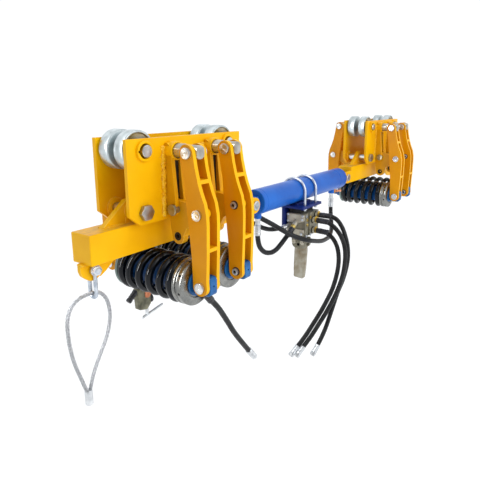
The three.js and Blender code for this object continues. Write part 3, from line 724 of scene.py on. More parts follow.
first = STATION_X[0]
cheek, other = [plate_of(CHEEK_OUTLINE, first + low, first + high, "X") for low, high in CHEEKS]
trim(cheek, other, "UNION")
drill(cheek, [at(first, NOSE_HOLE["out"], THRUST_Z)], NOSE_HOLE["r"], "Y", 0.1)
nose = turned(NOSE_SECTION, at(first, PLATE_OUT, THRUST_Z), (0, 1, 0), 48, marks=False)
nose.data.materials.append(golden_paint)
bracket = smooth(joined(painted(cheek, 1.4, bracket_painted_shade), nose))
fulcrum = plate_of(FULCRUM_OUTLINE, first - FULCRUM_HALF, first + FULCRUM_HALF, "X")
for hole in (LUG_HOLE, PIVOT_HOLE):
    drill(fulcrum, [at(first, hole["out"], hole["z"])], hole["r"], "X", 0.1, hole["sides"])
painted(fulcrum, 1.2, bracket_painted_shade)
# A near-black bush in the lug's hole, painted shade.
lug_shade = turned(disc(LUG_SHADE["r"], -LUG_SHADE["half"], LUG_SHADE["half"], LUG_SHADE["bore"]),
              at(first, LUG_HOLE["out"], LUG_HOLE["z"]), (1, 0, 0), 36)
beads = [bead([at(first + x, y, z) for x, y, z in line], radius, seed, flat=0.6)
         for seed, (line, radius) in enumerate(BEAD_LINES)]
chance = random.Random(7)
for _ in range(SPATTER["drops"]):
    aside = chance.gauss(0, 0.5) * SPATTER["spread"]
    spot = at(first + SPATTER["middle"] + aside, SPATTER["out"],
              chance.uniform(SPATTER["bottom"], SPATTER["top"]))
    radius = chance.uniform(SPATTER["smallest"], SPATTER["largest"])
    bpy.ops.mesh.primitive_ico_sphere_add(subdivisions=1, radius=radius, location=spot)
    bpy.ops.object.transform_apply(location=True, rotation=False, scale=False)
    beads.append(smooth(bpy.context.object, 60))
# The near-black block in the slot, painted shade.
slot_shade = block_of(first - SLOT_SHADE["half"], first + SLOT_SHADE["half"], SLOT_SHADE["in"], SLOT_SHADE["out"],
                 SLOT_SHADE["bottom"], SLOT_SHADE["top"])
# The golden paint, its edge, and the darker copy that is painted shade.
bracket_finishes_with_shade = (golden_paint, golden_edge_wear_and_highlight, bracket_painted_shade)
for piece, word, slot, finishes in (
    (smooth(soften(slot_shade, 1.0)), "bracket_liner", "black_paint", (painted_shade_black,)),
    (bracket, "bracket", "yellow_paint", bracket_finishes_with_shade),
    (fulcrum, "fulcrum", "yellow_paint", bracket_finishes_with_shade),
    (lug_shade, "lug_bush", "black_paint", (painted_shade_black,)),
    (joined(*beads), "bracket_welds", "yellow_paint", (weld_paint_highlight,)),
):
    place_all(piece, f"{{end}}_{{row}}_{word}_{{i}}", slot, finishes, "{end}_trolley",
              spots=STATION_X)


# Bracket pins: steel pins of 25 mm with a flat round head, through both cheeks of each bracket.
# They are left in the dull olive of the mill.
BRACKET_PIN = {"out": 98, "z": -119, "r": 12.5, "head": 16.5, "half": 34, "under_head": 25.5}
olive_steel = turned_steel("olive_steel", ((0.3, 0.28, 0.18), (0.48, 0.44, 0.32)), 0.38, rings=90,
                           relief=0.2, specks=((0.5, 0.27, 0.05), 50, -0.02))
r, head, half, shoulder = (BRACKET_PIN[key] for key in ("r", "head", "half", "under_head"))
pin_section = [(0, -half), (head - 1.5, -half), (head, 1.5 - half), (head, -shoulder),
               (r, -shoulder), (r, half - 4.5), (r - 1.5, half - 3), (0, half - 3)]
pin = turned(pin_section, at(first, BRACKET_PIN["out"], BRACKET_PIN["z"]), (1, 0, 0), 36)
place_all(pin, "{end}_{row}_bracket_pin_{i}", "machined_steel", (olive_steel,), "{end}_trolley",
          spots=STATION_X)


# Cross pins: two to a trolley, 30 mm round, right through both plates and the carrier beam's
# saddles, with a turned six-sided head at each end.
CROSS_PIN = {"r": 15, "half": 70.4, "head_r": 23.5, "head_length": 13.4}
head_steel = turned_steel("head_steel", ((0.33, 0.325, 0.32), (0.5, 0.495, 0.485)), 0.34, rings=70,
                          relief=0.6, specks=((0.3, 0.2, 0.12), 60, 0.0))
for end, shift in TROLLEYS:
    for i, x in enumerate(CROSS_PIN_X, 1):
        middle = at(x + shift, 0, CROSS_PIN_Z)
        shaft = turned(disc(CROSS_PIN["r"], -CROSS_PIN["half"], CROSS_PIN["half"]), middle,
                       (0, 1, 0), 36)
        pose_piece(shaft, f"{end}_cross_pin_{i}_shaft", f"{end}_trolley", "zinc_steel",
                   bright_steel)
        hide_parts(f"{end}_cross_pin_{i}")
        for row, way in (("near", -1), ("far", 1)):
            hex_nut(middle + Vector((0, way * CROSS_PIN["half"] / 1000, 0)), (0, way, 0),
                    CROSS_PIN["head_length"], CROSS_PIN["head_r"], head_steel,
                    f"{end}_{row}_cross_pin_{i}_head", f"{end}_trolley", "zinc_steel")


# Thrust pins: 43 mm steel pins that slide in the noses. The outer end is milled flat on both sides
# and slotted for the arm's pin, and the inner end carries a brake shoe with its lining.
THRUST_SECTION = [(0, 18), (21.5, 18), (21.5, 125), (19.6, 127), (19.6, 185.5), (18, 187),
                  (0, 187)]
FLAT = {"half": 15.5, "shoulder": 126, "end": 200}
SLOT = {"out": 161, "half": 9.4, "low": 39, "high": 61}
CUT_REACH = 40
thrust_steel = turned_steel("thrust_steel", ((0.34, 0.32, 0.28), (0.55, 0.53, 0.48)), 0.3, rings=60,
                            relief=0.3, specks=((0.3, 0.19, 0.09), 45, 0.02))
shoe_lining = finish("shoe_lining", ((0.05, 0.045, 0.04), (0.11, 0.1, 0.085)), 0.85, patch=60,
                     grain=300, relief=0.6, specks=((0.4, 0.28, 0.1), 220, -0.02))
thrust = turned(THRUST_SECTION, at(first, 0, THRUST_Z), (0, 1, 0), 48)
for low, high in ((-CUT_REACH, -FLAT["half"]), (FLAT["half"], CUT_REACH)):
    trim(thrust, block_of(first + low, first + high, FLAT["shoulder"], FLAT["end"],
                          THRUST_Z - CUT_REACH, THRUST_Z + CUT_REACH))
trim(thrust, block_of(first - CUT_REACH, first + CUT_REACH, SLOT["out"] - SLOT["half"],
                      SLOT["out"] + SLOT["half"], SLOT["low"], SLOT["high"]))
place_all(smooth(soften(thrust, 1.8)), "{end}_{row}_thrust_pin_{i}_steel", "machined_steel",
          (thrust_steel,), "{end}_{row}_thrust_pin_{i}", spots=STATION_X,
          replaced="{end}_{row}_thrust_pin_{i}")
# Each with its half length, inner and outer face, half height, broken edge and finish.
SHOES = (
    ("brake_shoe", 30, 12, 20, 22, 1.5, crimp_zinc),
    ("shoe_lining", 28, 6, 12, 20, 0.8, shoe_lining),
)
for word, half, near, far, tall, edge, metal in SHOES:
    shoe = block_of(first - half, first + half, near, far, THRUST_Z - tall, THRUST_Z + tall)
    place_all(soften(shoe, edge), f"{{end}}_{{row}}_{word}_{{i}}", "machined_steel", (metal,),
              "{end}_{row}_thrust_pin_{i}", spots=STATION_X)


# Brake arms: eight levers, each of two 13 mm plates joined by two webs, flame cut, welded and
# painted. Each hangs on a pivot pin, with the thrust pin at its top and a spring unit at its foot.
ARM_OUTLINE = [
    (222.5, -318), (227, -221), (228.4, -152), (227.4, -121), (221, -89), (208, -58), (199, -31),
    (189, 11), *arc(157.5, 50, 25, 10, 200), (142, -4), (148, -36), (151, -76), (155, -109),
    (158.5, -142), (164, -198), (169, -250), (171, -318), *arc(197.5, -337, 26.5, 187, 353),
]
ARM_PLATES = ((-29, -16), (16, 29))
ARM_WEBS = (
    [(153, -24), (197.3, -24), (200.2, -35), (154, -35)],
    [(170, -218), (227, -218), (226.7, -229), (171, -229)],
)
ARM_PINS = {"top": (161, 50, 9), "middle": (195, -122, 10), "foot": (199.5, -337, 10)}
WEB_HALF = 17
# arm_painted_shade: a darker, redder copy of the golden paint on the arms' faces that look along
# the car, painted shade.
arm_painted_shade = finish("arm_painted_shade", ((0.7, 0.272, 0.0003), (0.81, 0.345, 0.0006)), 0.36, patch=6,
                    grain=420, relief=0.12, gleam=0.15, specks=((0.4, 0.14, 0.01), 40, -0.04))
arm, other = [plate_of(ARM_OUTLINE, first + low, first + high, "X") for low, high in ARM_PLATES]
trim(arm, other, "UNION")
for web in ARM_WEBS:
    trim(arm, plate_of(web, first - WEB_HALF, first + WEB_HALF, "X"), "UNION")
place_all(painted(arm, 1.5, arm_painted_shade), "{end}_{row}_arm_{i}", "yellow_paint",
          (golden_paint, golden_edge_wear_and_highlight, arm_painted_shade), "{end}_{row}_brake_arm_{i}", spots=STATION_X,
          replaced="{end}_{row}_brake_arm_{i}")


# Arm pins: through each arm's two plates at top, middle and foot. The first arm of each pair has
# plain round heads, and the second has socket screws over washers at its middle and foot.
PIN_HEAD = [(0, 28.6), (16.5, 28.6), (16.5, 37), (15, 38.6), (2, 38.6), (0, 37.4)]
RIM_HEAD = [(0, 28.6), (16.5, 28.6), (16.5, 36.4), (15.6, 37.4), (13.4, 37.4), (12.2, 34.8),
            (4.6, 34.2), (3.4, 35.8), (0, 36)]
SOCKET_HEAD = {"from": 31, "to": 38, "r": 10.6, "socket": 5.4}
COLLAR = {"r": 14, "from": 28.6, "shoulder": 30.4, "play": 0.4, "floor": 3}
SHAFT_HALF = 29
socket_black = finish("socket_black", ((0.02, 0.02, 0.02), (0.06, 0.055, 0.05)), 0.5, metallic=0.6,
                      patch=80, relief=0.2)
star_steel = turned_steel("star_steel", ((0.5, 0.5, 0.49), (0.8, 0.8, 0.78)), 0.24, rings=40,
                          relief=0.9, specks=((0.3, 0.24, 0.16), 120, 0.0))
bore, low, high, r = (SOCKET_HEAD[key] for key in ("socket", "from", "to", "r"))
socket_section = [(bore, low), (r, low), (r, high - 1), (r - 1, high), (bore, high)]
r, back, floor = COLLAR["r"], COLLAR["from"], low + COLLAR["floor"]
collar_section = [(0, back), (r, back), (r, COLLAR["shoulder"]), (r - 1, low),
                  (bore + COLLAR["play"], low), (bore + COLLAR["play"], floor), (0, floor)]
for place_name, (out, z, radius) in ARM_PINS.items():
    for i, x in enumerate(STATION_X, 1):
        middle = at(x, out, z)
        on_top = place_name == "top"
        plain = i == 1 or on_top
        head = RIM_HEAD if place_name == "middle" else PIN_HEAD
        parts = [turned(disc(radius, -SHAFT_HALF, SHAFT_HALF), middle, (1, 0, 0), 28)]
        parts += [turned(head if plain else socket_section, middle, (way, 0, 0), 36)
                  for way in (-1, 1)]
        if on_top:
            metal = thrust_steel if i == 2 else bright_steel
        else:
            metal = star_steel if i == 1 else bright_steel
        name, arm_body = f"{{end}}_{{row}}_arm_{i}_{place_name}", f"{{end}}_{{row}}_brake_arm_{i}"
        place_all(joined(*parts), name + "_pin", "machined_steel", (metal,), arm_body)
        if not plain:
            collars = [turned(collar_section, middle, (way, 0, 0), 36) for way in (-1, 1)]
            place_all(joined(*collars), name + "_socket", "machined_steel", (socket_black,),
                      arm_body)


# Carrier beams: two closed box sections of 80 by 84 mm with welded end plates. Gussets and saddles
# on top take the cross pins, a tow lug hangs below, and two ears hold the drive cylinder's pin.
BEAM = {"half": 40, "bottom": -235, "top": -151, "corner": 3.5}
BEAMS = {
    "left": {"from": -167.5, "to": 537, "tow_x": -140, "turn": 1, "ear_x": 572, "shift": 0},
    "right": {"from": -180, "to": 537.5, "tow_x": 510, "turn": -1, "ear_x": -221, "shift": 1645},
}
DRAIN = {"x": 185, "r": 9}
TOW_OUTLINE = [(88, -234), (40, -272), (22, -282), *arc(-1, -257.5, 29.5, -48, -138), (-33, -268),
               (-38, -254), (-38, -240), (-36, -234)]
TOW = {"z": -256, "r": 9.3, "half": 7}
TOW_WELD = {"y": 8, "z": -235.5, "rise": 0.3, "ends": (-36, 86)}
GUSSET_OUTLINE = [(-104, -152), (-22, -86), (-14, -83), (6, -83), (14, -87), (28, -100),
                  (60, -152)]
GUSSET_HALF = 9
GUSSET_WELD = {"y": 10, "z": -150.5, "rise": -0.3, "ends": (-102, 58)}
SADDLE = {"r": 24, "half": 11, "bore": 15.6}
SADDLE_FOOT = {"long": 22, "half": 11, "bottom": -152, "top": -134}
EAR = {"r": 31, "in": 25, "out": 39, "reach": 20, "z": -204, "bore": 15.8}
BEAM_WELD = 3.2


def patched_on_top(name, tones, top_patch_colour):
    """Golden paint that turns a dull brown in patches on its upward faces."""
    material = finish(name, tones, 0.36, patch=7, grain=420, relief=0.12, gleam=0.14,
                      specks=((0.42, 0.17, 0.01), 34, -0.04))
    shader = material.node_tree.nodes["Principled BSDF"]
    paint = shader.inputs["Base Color"].links[0].from_socket
    facing = add_node(material, "NewGeometry", {})
    apart = add_node(material, "SeparateXYZ", {"Vector": facing.outputs["True Normal"]})
    upward = add_node(material, "MapRange", {"Value": apart.outputs["Z"], "From Min": 0.9})
    place = add_node(material, "TexCoord", {})
    stretch = add_node(material, "Mapping", {"Vector": place.outputs["Object"],
                                             "Scale": (1, 2.4, 1)})
    top_noise = add_node(material, "TexNoise", {"Vector": stretch.outputs["Vector"], "Scale": 16,
                                          "Detail": 8, "Roughness": 0.75})
    patchy = add_node(material, "MapRange", {"Value": top_noise.outputs["Fac"], "From Min": 0.38,
                                             "From Max": 0.66})
    both = add_node(material, "Math", {0: upward.outputs["Result"], 1: patchy.outputs["Result"]},
                    operation="MULTIPLY")
    top_tone = colour_mix(material, both.outputs["Value"], paint, top_patch_colour)
    feed(material, shader, {"Base Color": top_tone})
    return material


def seams_of(x, way, weld):
    """The two seams at the foot of a plate that stands at x, each with its middle a little off
    the line."""
    low, high = sorted(x + way * u for u in weld["ends"])
    return [[(low, y, weld["z"]), ((low + high) / 2, y, weld["z"] + weld["rise"]),
             (high, y, weld["z"])] for y in (-weld["y"], weld["y"])]


beam_paint = patched_on_top("beam_paint", ((0.84, 0.415, 0.0005), (0.94, 0.51, 0.001)),
                     (0.47, 0.26, 0.06))
for end, beam in BEAMS.items():
    shift, way = beam["shift"], beam["turn"]
    low, high = beam["from"] + shift, beam["to"] + shift
    tow_x, ear_x = beam["tow_x"] + shift, beam["ear_x"] + shift
    tube = block_of(low, high, -BEAM["half"], BEAM["half"], BEAM["bottom"], BEAM["top"])
    drill(tube, [at(DRAIN["x"] + shift, 0, BEAM["bottom"])], DRAIN["r"], "Z", 0.03, 24)
    tube.data.materials.append(beam_paint)
    tube.data.materials.append(golden_edge_wear_and_highlight)
    soften(smooth(tube, 40), BEAM["corner"], segments=3, angle=60, harden=True)
    pose_piece(tube, f"{end}_beam", f"{end}_trolley", "yellow_paint", beam_paint, golden_edge_wear_and_highlight)
    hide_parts(f"{end}_carrier_beam")
    parts, seams = [], []
    for turn, x, wheel_x in zip((1, -1), CROSS_PIN_X, WHEEL_X):
        x, wheel_x = x + shift, wheel_x + shift
        gusset = plate_of([(wheel_x + turn * u, z) for u, z in GUSSET_OUTLINE], -GUSSET_HALF,
                          GUSSET_HALF, "Y")
        drill(gusset, [at(x, 0, CROSS_PIN_Z)], SADDLE["bore"], "Y", 0.1)
        saddle = turned(disc(SADDLE["r"], -SADDLE["half"], SADDLE["half"], SADDLE["bore"]),
                        at(x, 0, CROSS_PIN_Z), (0, 1, 0), marks=False)
        foot = block_of(x - SADDLE_FOOT["long"], x + SADDLE_FOOT["long"], -SADDLE_FOOT["half"],
                        SADDLE_FOOT["half"], SADDLE_FOOT["bottom"], SADDLE_FOOT["top"])
        parts += [gusset, saddle, foot]
        seams += seams_of(wheel_x, turn, GUSSET_WELD)
    lug = plate_of([(tow_x + way * u, z) for u, z in TOW_OUTLINE], -TOW["half"], TOW["half"], "Y")
    drill(lug, [at(tow_x, 0, TOW["z"])], TOW["r"], "Y", 0.1, 32)
    parts.append(lug)
    seams += seams_of(tow_x, way, TOW_WELD)
    root = high - EAR["reach"] if way > 0 else low + EAR["reach"]
    for side in (-1, 1):
        outline = [(root, EAR["z"] - way * EAR["r"]), (ear_x, EAR["z"] - way * EAR["r"]),
                   *arc(ear_x, EAR["z"], EAR["r"], -90 * way, 180 - 90 * way),
                   (root, EAR["z"] + way * EAR["r"])]
        ear = plate_of(outline, *sorted((EAR["in"] * side, EAR["out"] * side)), "Y")
        drill(ear, [at(ear_x, 0, EAR["z"])], EAR["bore"], "Y", 0.2, 36)
        parts.append(ear)
    fittings = joined(*[painted(part, 1.2) for part in parts])
    pose_piece(fittings, f"{end}_beam_fittings", f"{end}_trolley", "yellow_paint", golden_paint,
               golden_edge_wear_and_highlight)
    welds = joined(*[bead([at(*spot) for spot in line], BEAM_WELD, seed)
                     for seed, line in enumerate(seams)])
    pose_piece(welds, f"{end}_beam_welds", f"{end}_trolley", "yellow_paint", weld_paint_highlight)


# Junction block: a zinc-plated steel block screwed to the left beam's far side, where two hoses
# join the brake pipes. Two hexagon adaptors stand out of its end.
JUNCTION = {"from": 486, "to": 520, "in": 38, "out": 76, "bottom": -252, "top": -192}
JUNCTION_SCREWS = {"x": 503, "z": (-205, -240), "r": 4, "deep": 0.012}
ADAPTORS = {"x": 519.5, "y": 62, "z": (-207, -238), "length": 20, "r": 12}


def moulded(piece, width, name, body, slot, material, degrees=30, **options):
    """A block or plate with its edges broken, finished and put on its body."""
    piece = smooth(soften(piece, width, **options), degrees)
    return pose_piece(piece, name, body, slot, material)


block = block_of(JUNCTION["from"], JUNCTION["to"], JUNCTION["in"], JUNCTION["out"],
                 JUNCTION["bottom"], JUNCTION["top"])
drill(block, [at(JUNCTION_SCREWS["x"], JUNCTION["out"], z) for z in JUNCTION_SCREWS["z"]],
      JUNCTION_SCREWS["r"], "Y", JUNCTION_SCREWS["deep"], 20)
moulded(block, 1.5, "junction_block", "left_trolley", "zinc_steel", crimp_zinc)
for i, z in enumerate(ADAPTORS["z"], 1):
    hex_nut(at(ADAPTORS["x"], ADAPTORS["y"], z), (1, 0, 0), ADAPTORS["length"], ADAPTORS["r"],
            crimp_zinc, f"junction_adaptor_{i}", "left_trolley", "zinc_steel")


# Spring units: below each trolley two spring-loaded cylinders, each hung between two arms by an eye
# at either end. Blue barrel, turned steel cap near, grey-green cap far, gloss black coil between.
FOOT = {"out": 199.5, "z": -337}
EYE = {"from": 160, "half": 15.6, "tall": 29, "end": 226, "corner": 13}
FOOT_BORE = 10.8
DIMPLE = {"out": 228, "up": 2, "r": 3.2, "deep": 0.016}
BARREL_SECTION = [(18.8, -92), (39.5, -92), (41, -90.5), (41, 118), (18.8, 118)]
CAP_SECTION = [(17, 123), (69.6, 123), (71, 124.4), (71, 133.6), (69.8, 134.8), (66.4, 135.4),
               (65.8, 136.6), (65.8, 141.6), (66.6, 142.8), (69.4, 143.4), (70.6, 144.8),
               (70.6, 158.2), (68.4, 160.6), (46, 163.4), (44.4, 162.6), (44, 160.2), (17, 160.2)]
HUB_SECTION = [(0, 100), (17, 100), (17, 158), (40, 158), (40, 163.2), (38, 165), (0, 165)]
ROD_SECTION = [(0, -50), (16.5, -50), (18, -48.5), (18, 124), (0, 124)]
FAR_CAP_SECTION = [(18.8, 118), (66, 118), (69, 119.5), (69, 128), (67.5, 130), (18.8, 130)]
FAR_HUB_SECTION = [(0, 75), (18.6, 75), (18.6, 130), (38, 130), (38, 163.5), (36.5, 165),
                   (0, 165)]
CAP_HOLES = {"first": 14.5, "count": 8, "along": 151, "rim": 70.6, "r": 4.3, "deep": 8}
COIL = {"r": 61.2, "wire": 12.2, "near": -109, "far": 104, "turns": 5.6, "flat": 0.45,
        "start": 0.6, "open_share": 0.92, "steps": 36}
HOSE_STUB = {"from": (3, -175.5, -357), "to": (16, -175.5, -373), "length": 19, "r": 9.5}

unit_blue = finish("unit_blue", ((0.002, 0.06, 0.22), (0.008, 0.14, 0.4)), 0.3, patch=18,
                   grain=400, relief=0.12, gleam=0.3, specks=((0.3, 0.4, 0.5), 90, -0.07))
barrel_blue = finish("barrel_blue", ((0.002, 0.05, 0.2), (0.006, 0.11, 0.4)), 0.3, patch=14,
                     grain=400, relief=0.12, gleam=0.25)
spring_black = finish("spring_black", ((0.001, 0.002, 0.004), (0.003, 0.005, 0.009)), 0.1,
                      patch=30, grain=380, relief=0.06, gleam=0.28, spread=0.02)
cap_steel = turned_steel("cap_steel", ((0.17, 0.175, 0.17), (0.29, 0.29, 0.275)), 0.27, rings=80,
                         relief=0.35, specks=((0.24, 0.15, 0.08), 16, -0.02))
# hole_painted_shade: near-black floors in the cap's holes, painted shade.
hole_painted_shade = finish("hole_painted_shade", ((0.006, 0.006, 0.006), (0.015, 0.014, 0.013)), 0.8, relief=0.2)
far_cap_paint = finish("far_cap_paint", ((0.14, 0.19, 0.18), (0.24, 0.31, 0.29)), 0.4, patch=20,
                       relief=0.2, specks=((0.4, 0.42, 0.4), 80, -0.03))


def eye_of_unit():
    """The flat eye at the end of a unit, bored for the arm's foot pin."""
    z, tall, corner = FOOT["z"], EYE["tall"], EYE["corner"]
    bend = EYE["end"] - corner
    outline = [(EYE["from"], z - tall), *arc(bend, z - tall + corner, corner, -90, 0),
               *arc(bend, z + tall - corner, corner, 0, 90), (EYE["from"], z + tall)]
    eye = plate_of(outline, first - EYE["half"], first + EYE["half"], "X")
    drill(eye, [at(first, FOOT["out"], FOOT["z"])], FOOT_BORE, "X", 0.1, 32)
    return smooth(soften(eye, 2.2))


axis_at = at(first, 0, FOOT["z"])
barrel = turned(BARREL_SECTION, axis_at, (0, 1, 0), 56)
far_cap = turned(FAR_CAP_SECTION, axis_at, (0, 1, 0), 64)
far_hub = joined(turned(FAR_HUB_SECTION, axis_at, (0, 1, 0), 56, marks=False), eye_of_unit())
cap = turned(CAP_SECTION, axis_at, (0, 1, 0), 80, bevel=0.3)
near_eye = eye_of_unit()
drill(near_eye, [at(first, DIMPLE["out"], FOOT["z"] + DIMPLE["up"])], DIMPLE["r"], "Y",
      DIMPLE["deep"], 20)
hub = joined(turned(HUB_SECTION, axis_at, (0, 1, 0), 56, marks=False), smooth(near_eye))
# The near-black floor at the bottom of each cap hole is painted shade.
shade_floor_r, deep = CAP_HOLES["r"] - 0.1, CAP_HOLES["deep"] / 1000
shade_floor_section = [(0, 0), (shade_floor_r, 0), (shade_floor_r, 4.4), (0, 5)]
plugs = []
for k in range(CAP_HOLES["count"]):
    turn = math.radians(CAP_HOLES["first"] + 360 / CAP_HOLES["count"] * k)
    way = Vector((math.cos(turn), 0, math.sin(turn)))
    place = axis_at + way * CAP_HOLES["rim"] / 1000 + Vector((0, CAP_HOLES["along"] / 1000, 0))
    pick()
    bpy.ops.mesh.primitive_cylinder_add(
        vertices=24, radius=CAP_HOLES["r"] / 1000, depth=2 * deep, location=place,
        rotation=Vector((0, 0, 1)).rotation_difference(way).to_euler())
    trim(cap, bpy.context.object)
    plugs.append(turned(shade_floor_section, place - way * deep, way, 20))
smooth(cap)
hole_shade_floor = joined(*plugs)
rod = turned(ROD_SECTION, axis_at, (0, 1, 0), 40)
turns, flat, steps = COIL["turns"], COIL["flat"], round(COIL["turns"] * COIL["steps"])
coil_places = []
for i in range(steps + 1):
    gone = turns * i / steps
    share = min(1, max(0, (gone - flat) / (turns - 2 * flat)))
    rise = share * COIL["open_share"] + (1 - COIL["open_share"]) * gone / turns
    y = COIL["near"] + (COIL["far"] - COIL["near"]) * rise
    turn = 2 * math.pi * gone + COIL["start"]
    coil_places.append(axis_at + Vector((COIL["r"] * math.cos(turn), y,
                                         COIL["r"] * math.sin(turn))) / 1000)
coil = smooth(bar_of(coil_places, COIL["wire"], 6), 50)
# Each with its word, its slot, its finish, and whether it hangs on the far arm with the barrel.
UNIT_PIECES = (
    (barrel, "barrel", "blue_paint", barrel_blue, True),
    (far_cap, "far_cap", "blue_paint", far_cap_paint, True),
    (far_hub, "far_eye", "blue_paint", unit_blue, True),
    (cap, "near_cap", "machined_steel", cap_steel, False),
    (hole_shade_floor, "cap_holes", "machined_steel", hole_painted_shade, False),
    (hub, "near_eye", "blue_paint", unit_blue, False),
    (rod, "rod", "machined_steel", bright_steel, False),
)
for end, shift in TROLLEYS:
    for i, x in enumerate(STATION_X, 1):
        move = shift + x - first
        rod_body, barrel_body = f"{end}_release_rod_{i}", f"{end}_release_cylinder_{i}"
        for piece, word, slot, material, far in UNIT_PIECES:
            twin = pose_piece(copy_of(piece, move, not far), f"{end}_unit_{i}_{word}",
                              barrel_body if far else rod_body, slot, material)
            if word == "barrel":
                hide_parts(barrel_body)
            elif word == "near_cap":
                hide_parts(rod_body)
        spring = pose_piece(copy_of(coil, move, False), f"{end}_coil_{i}", barrel_body,
                            "black_paint", spring_black)
        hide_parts(f"{end}_brake_spring_{i}")
        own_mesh(spring)
for template in (coil, *(row[0] for row in UNIT_PIECES)):
    bpy.data.objects.remove(template)
start, stop = (at(first + x, y, z) for x, y, z in (HOSE_STUB["from"], HOSE_STUB["to"]))
hex_nut(start, stop - start, HOSE_STUB["length"], HOSE_STUB["r"], crimp_zinc,
        "brake_hose_adaptor", "left_release_rod_1", "zinc_steel")


# Bleed cock: a small cast block screwed under the far cap of the first left spring unit, with a
# rubber sleeve on one side, a copper union on the other, and a plated T-handle below.
COCK_OUTLINE = [(104, -430), (130, -424), (158, -430), (160, -492), (142, -510), (110, -502)]
COCK_BODY = "left_release_cylinder_1"
COCK = {"y": 123, "half": 13}
COCK_GASKET = {"in": -12.5, "out": -15.5,
               "outline": [(132, -431), (156, -431), (157, -462), (146, -468), (133, -462)]}
COCK_BOSS = [(0, 0), (15, 0), (16, 1), (16, 9), (14, 11), (0, 11)]
COCK_BOSS_AT = (159, -478)
HANDLE = ((128, -539), (222, -522))
STEM = {"x": 150, "z": -502, "r": 5.5, "length": 34}
cock_olive = finish("cock_olive", ((0.09, 0.09, 0.06), (0.26, 0.25, 0.17)), 0.5, metallic=0.3,
                    patch=40, grain=300, relief=0.4, specks=((0.4, 0.2, 0.12), 60, -0.02))
union_copper = finish("union_copper", ((0.45, 0.16, 0.08), (0.75, 0.36, 0.22)), 0.3, metallic=0.9,
                      patch=60, relief=0.2)
# Each with its maker, place, direction, length, radius, finish and slot.
COCK_FITTINGS = (
    ("stub", hex_nut, (128, -397), (0, 0, -1), 31, 9.5, crimp_zinc, "zinc_steel"),
    ("union", hex_nut, (159, -452), (1, 0, 0), 12, 12, union_copper, "olive_metal"),
    ("sleeve", sleeve, (107, -434), (-0.75, 0, -0.6), 44, 10, crimp_dark, "black_rubber"),
)
moulded(plate_of(COCK_OUTLINE, COCK["y"] - COCK["half"], COCK["y"] + COCK["half"], "Y"), 2.4,
        "bleed_cock", COCK_BODY, "olive_metal", cock_olive, 40, segments=2)
moulded(plate_of(COCK_GASKET["outline"], COCK["y"] + COCK_GASKET["out"],
                 COCK["y"] + COCK_GASKET["in"], "Y"), 0.8,
        "bleed_cock_gasket", COCK_BODY, "olive_metal", union_copper)
for word, make, (x, z), way, length, radius, metal, slot in COCK_FITTINGS:
    make(at(x, COCK["y"], z), way, length, radius, metal, f"bleed_cock_{word}", COCK_BODY, slot)
boss = turned(COCK_BOSS, at(COCK_BOSS_AT[0], COCK["y"], COCK_BOSS_AT[1]), (1, 0, 0), 32)
pose_piece(boss, "bleed_cock_boss", COCK_BODY, "olive_metal", crimp_dark)
low, high = (at(x, COCK["y"], z) for x, z in HANDLE)
reach = (high - low).length * 1000
stem = turned(disc(STEM["r"], 0, STEM["length"]), at(STEM["x"], COCK["y"], STEM["z"]),
              (0, 0, -1), 24)
bar = turned([(0, 0), (3.6, 0), (4.8, 1.2), (4.8, reach - 1.2), (3.6, reach), (0, reach)], low,
             high - low, 24)
pose_piece(joined(stem, bar), "bleed_cock_handle", COCK_BODY, "zinc_steel", crimp_zinc)


# Drive cylinder: a hydraulic cylinder of 104 mm in royal blue between the two beams. A groove marks
# each head, ports hang below, and a chromed rod comes out on the right. Both eyes are blue.
DRIVE_Z = -204
CYLINDER_SECTION = [
    (0, 617), (49.5, 617), (52, 619.5), (52, 641), (51, 642), (51, 645), (51.8, 646), (51.8, 1309),
    (51, 1310), (51, 1313), (52, 1314), (52, 1380.5), (49.5, 1383), (31, 1383), (31, 1378),
    (26, 1378), (26, 755), (0, 755),
]
ROD_DRAW = [(0, 772), (23.5, 772), (25, 773.5), (25, 1398), (22, 1402), (0, 1402)]
PORTS = (641, 1306)
PORT_BOSS = [(0, 0), (15.5, 0), (15.5, 22), (14, 24), (0, 24)]
PORT_HEIGHTS = {"boss": -250, "adaptor": -273.5, "neck": -286, "nut": -289.5}
# What hangs below each port, with its length and radius.
PORT_NUTS = (("adaptor", 13, 12.5), ("nut", 12, 11.6))
PORT_NECK = disc(9, 0, 4)
BLEED = {"x": 1372, "fitting_z": -255, "length": 10, "r": 8.5, "elbow_z": -264, "branch_z": -271}
BLEED_ELBOW = [(0, 0), (7, 0), (8.6, 3), (8.6, 11), (7, 14), (0, 14)]
BLEED_BRANCH = [(0, 0), (6, 0), (6, 15), (7.6, 16), (7.6, 23), (6, 24), (0, 24)]
# Each eye with its pin's place, the end of its neck, and the way it looks along the car.
DRIVE_EYES = (("left", 572, 622, 1), ("right", 1424, 1399, -1))
DRIVE_EYE = {"r": 27, "half": 24}
DRIVE_PIN = {"r": 13, "half": 46}
DRIVE_PIN_HEAD = [(0, 39.3), (19, 39.3), (19, 44.6), (17.6, 46), (4, 46), (3, 44.5), (0, 44.5)]
royal_blue = finish("royal_blue", ((0.004, 0.085, 0.42), (0.01, 0.14, 0.58)), 0.34, patch=6,
                    grain=350, relief=0.14, gleam=0.22, specks=((0.003, 0.04, 0.2), 30, -0.03))
chrome_rod = finish("chrome_rod", ((0.62, 0.63, 0.65), (0.7, 0.71, 0.73)), 0.1, metallic=1.0,
                    patch=30, grain=900, relief=0.03, spread=0.04)
DOWN = (0, 0, -1)
cylinder = joined(
    turned(CYLINDER_SECTION, at(0, 0, DRIVE_Z), (1, 0, 0), 96, marks=False),
    *[turned(PORT_BOSS, at(x, 0, PORT_HEIGHTS["boss"]), DOWN, 36, marks=False) for x in PORTS])
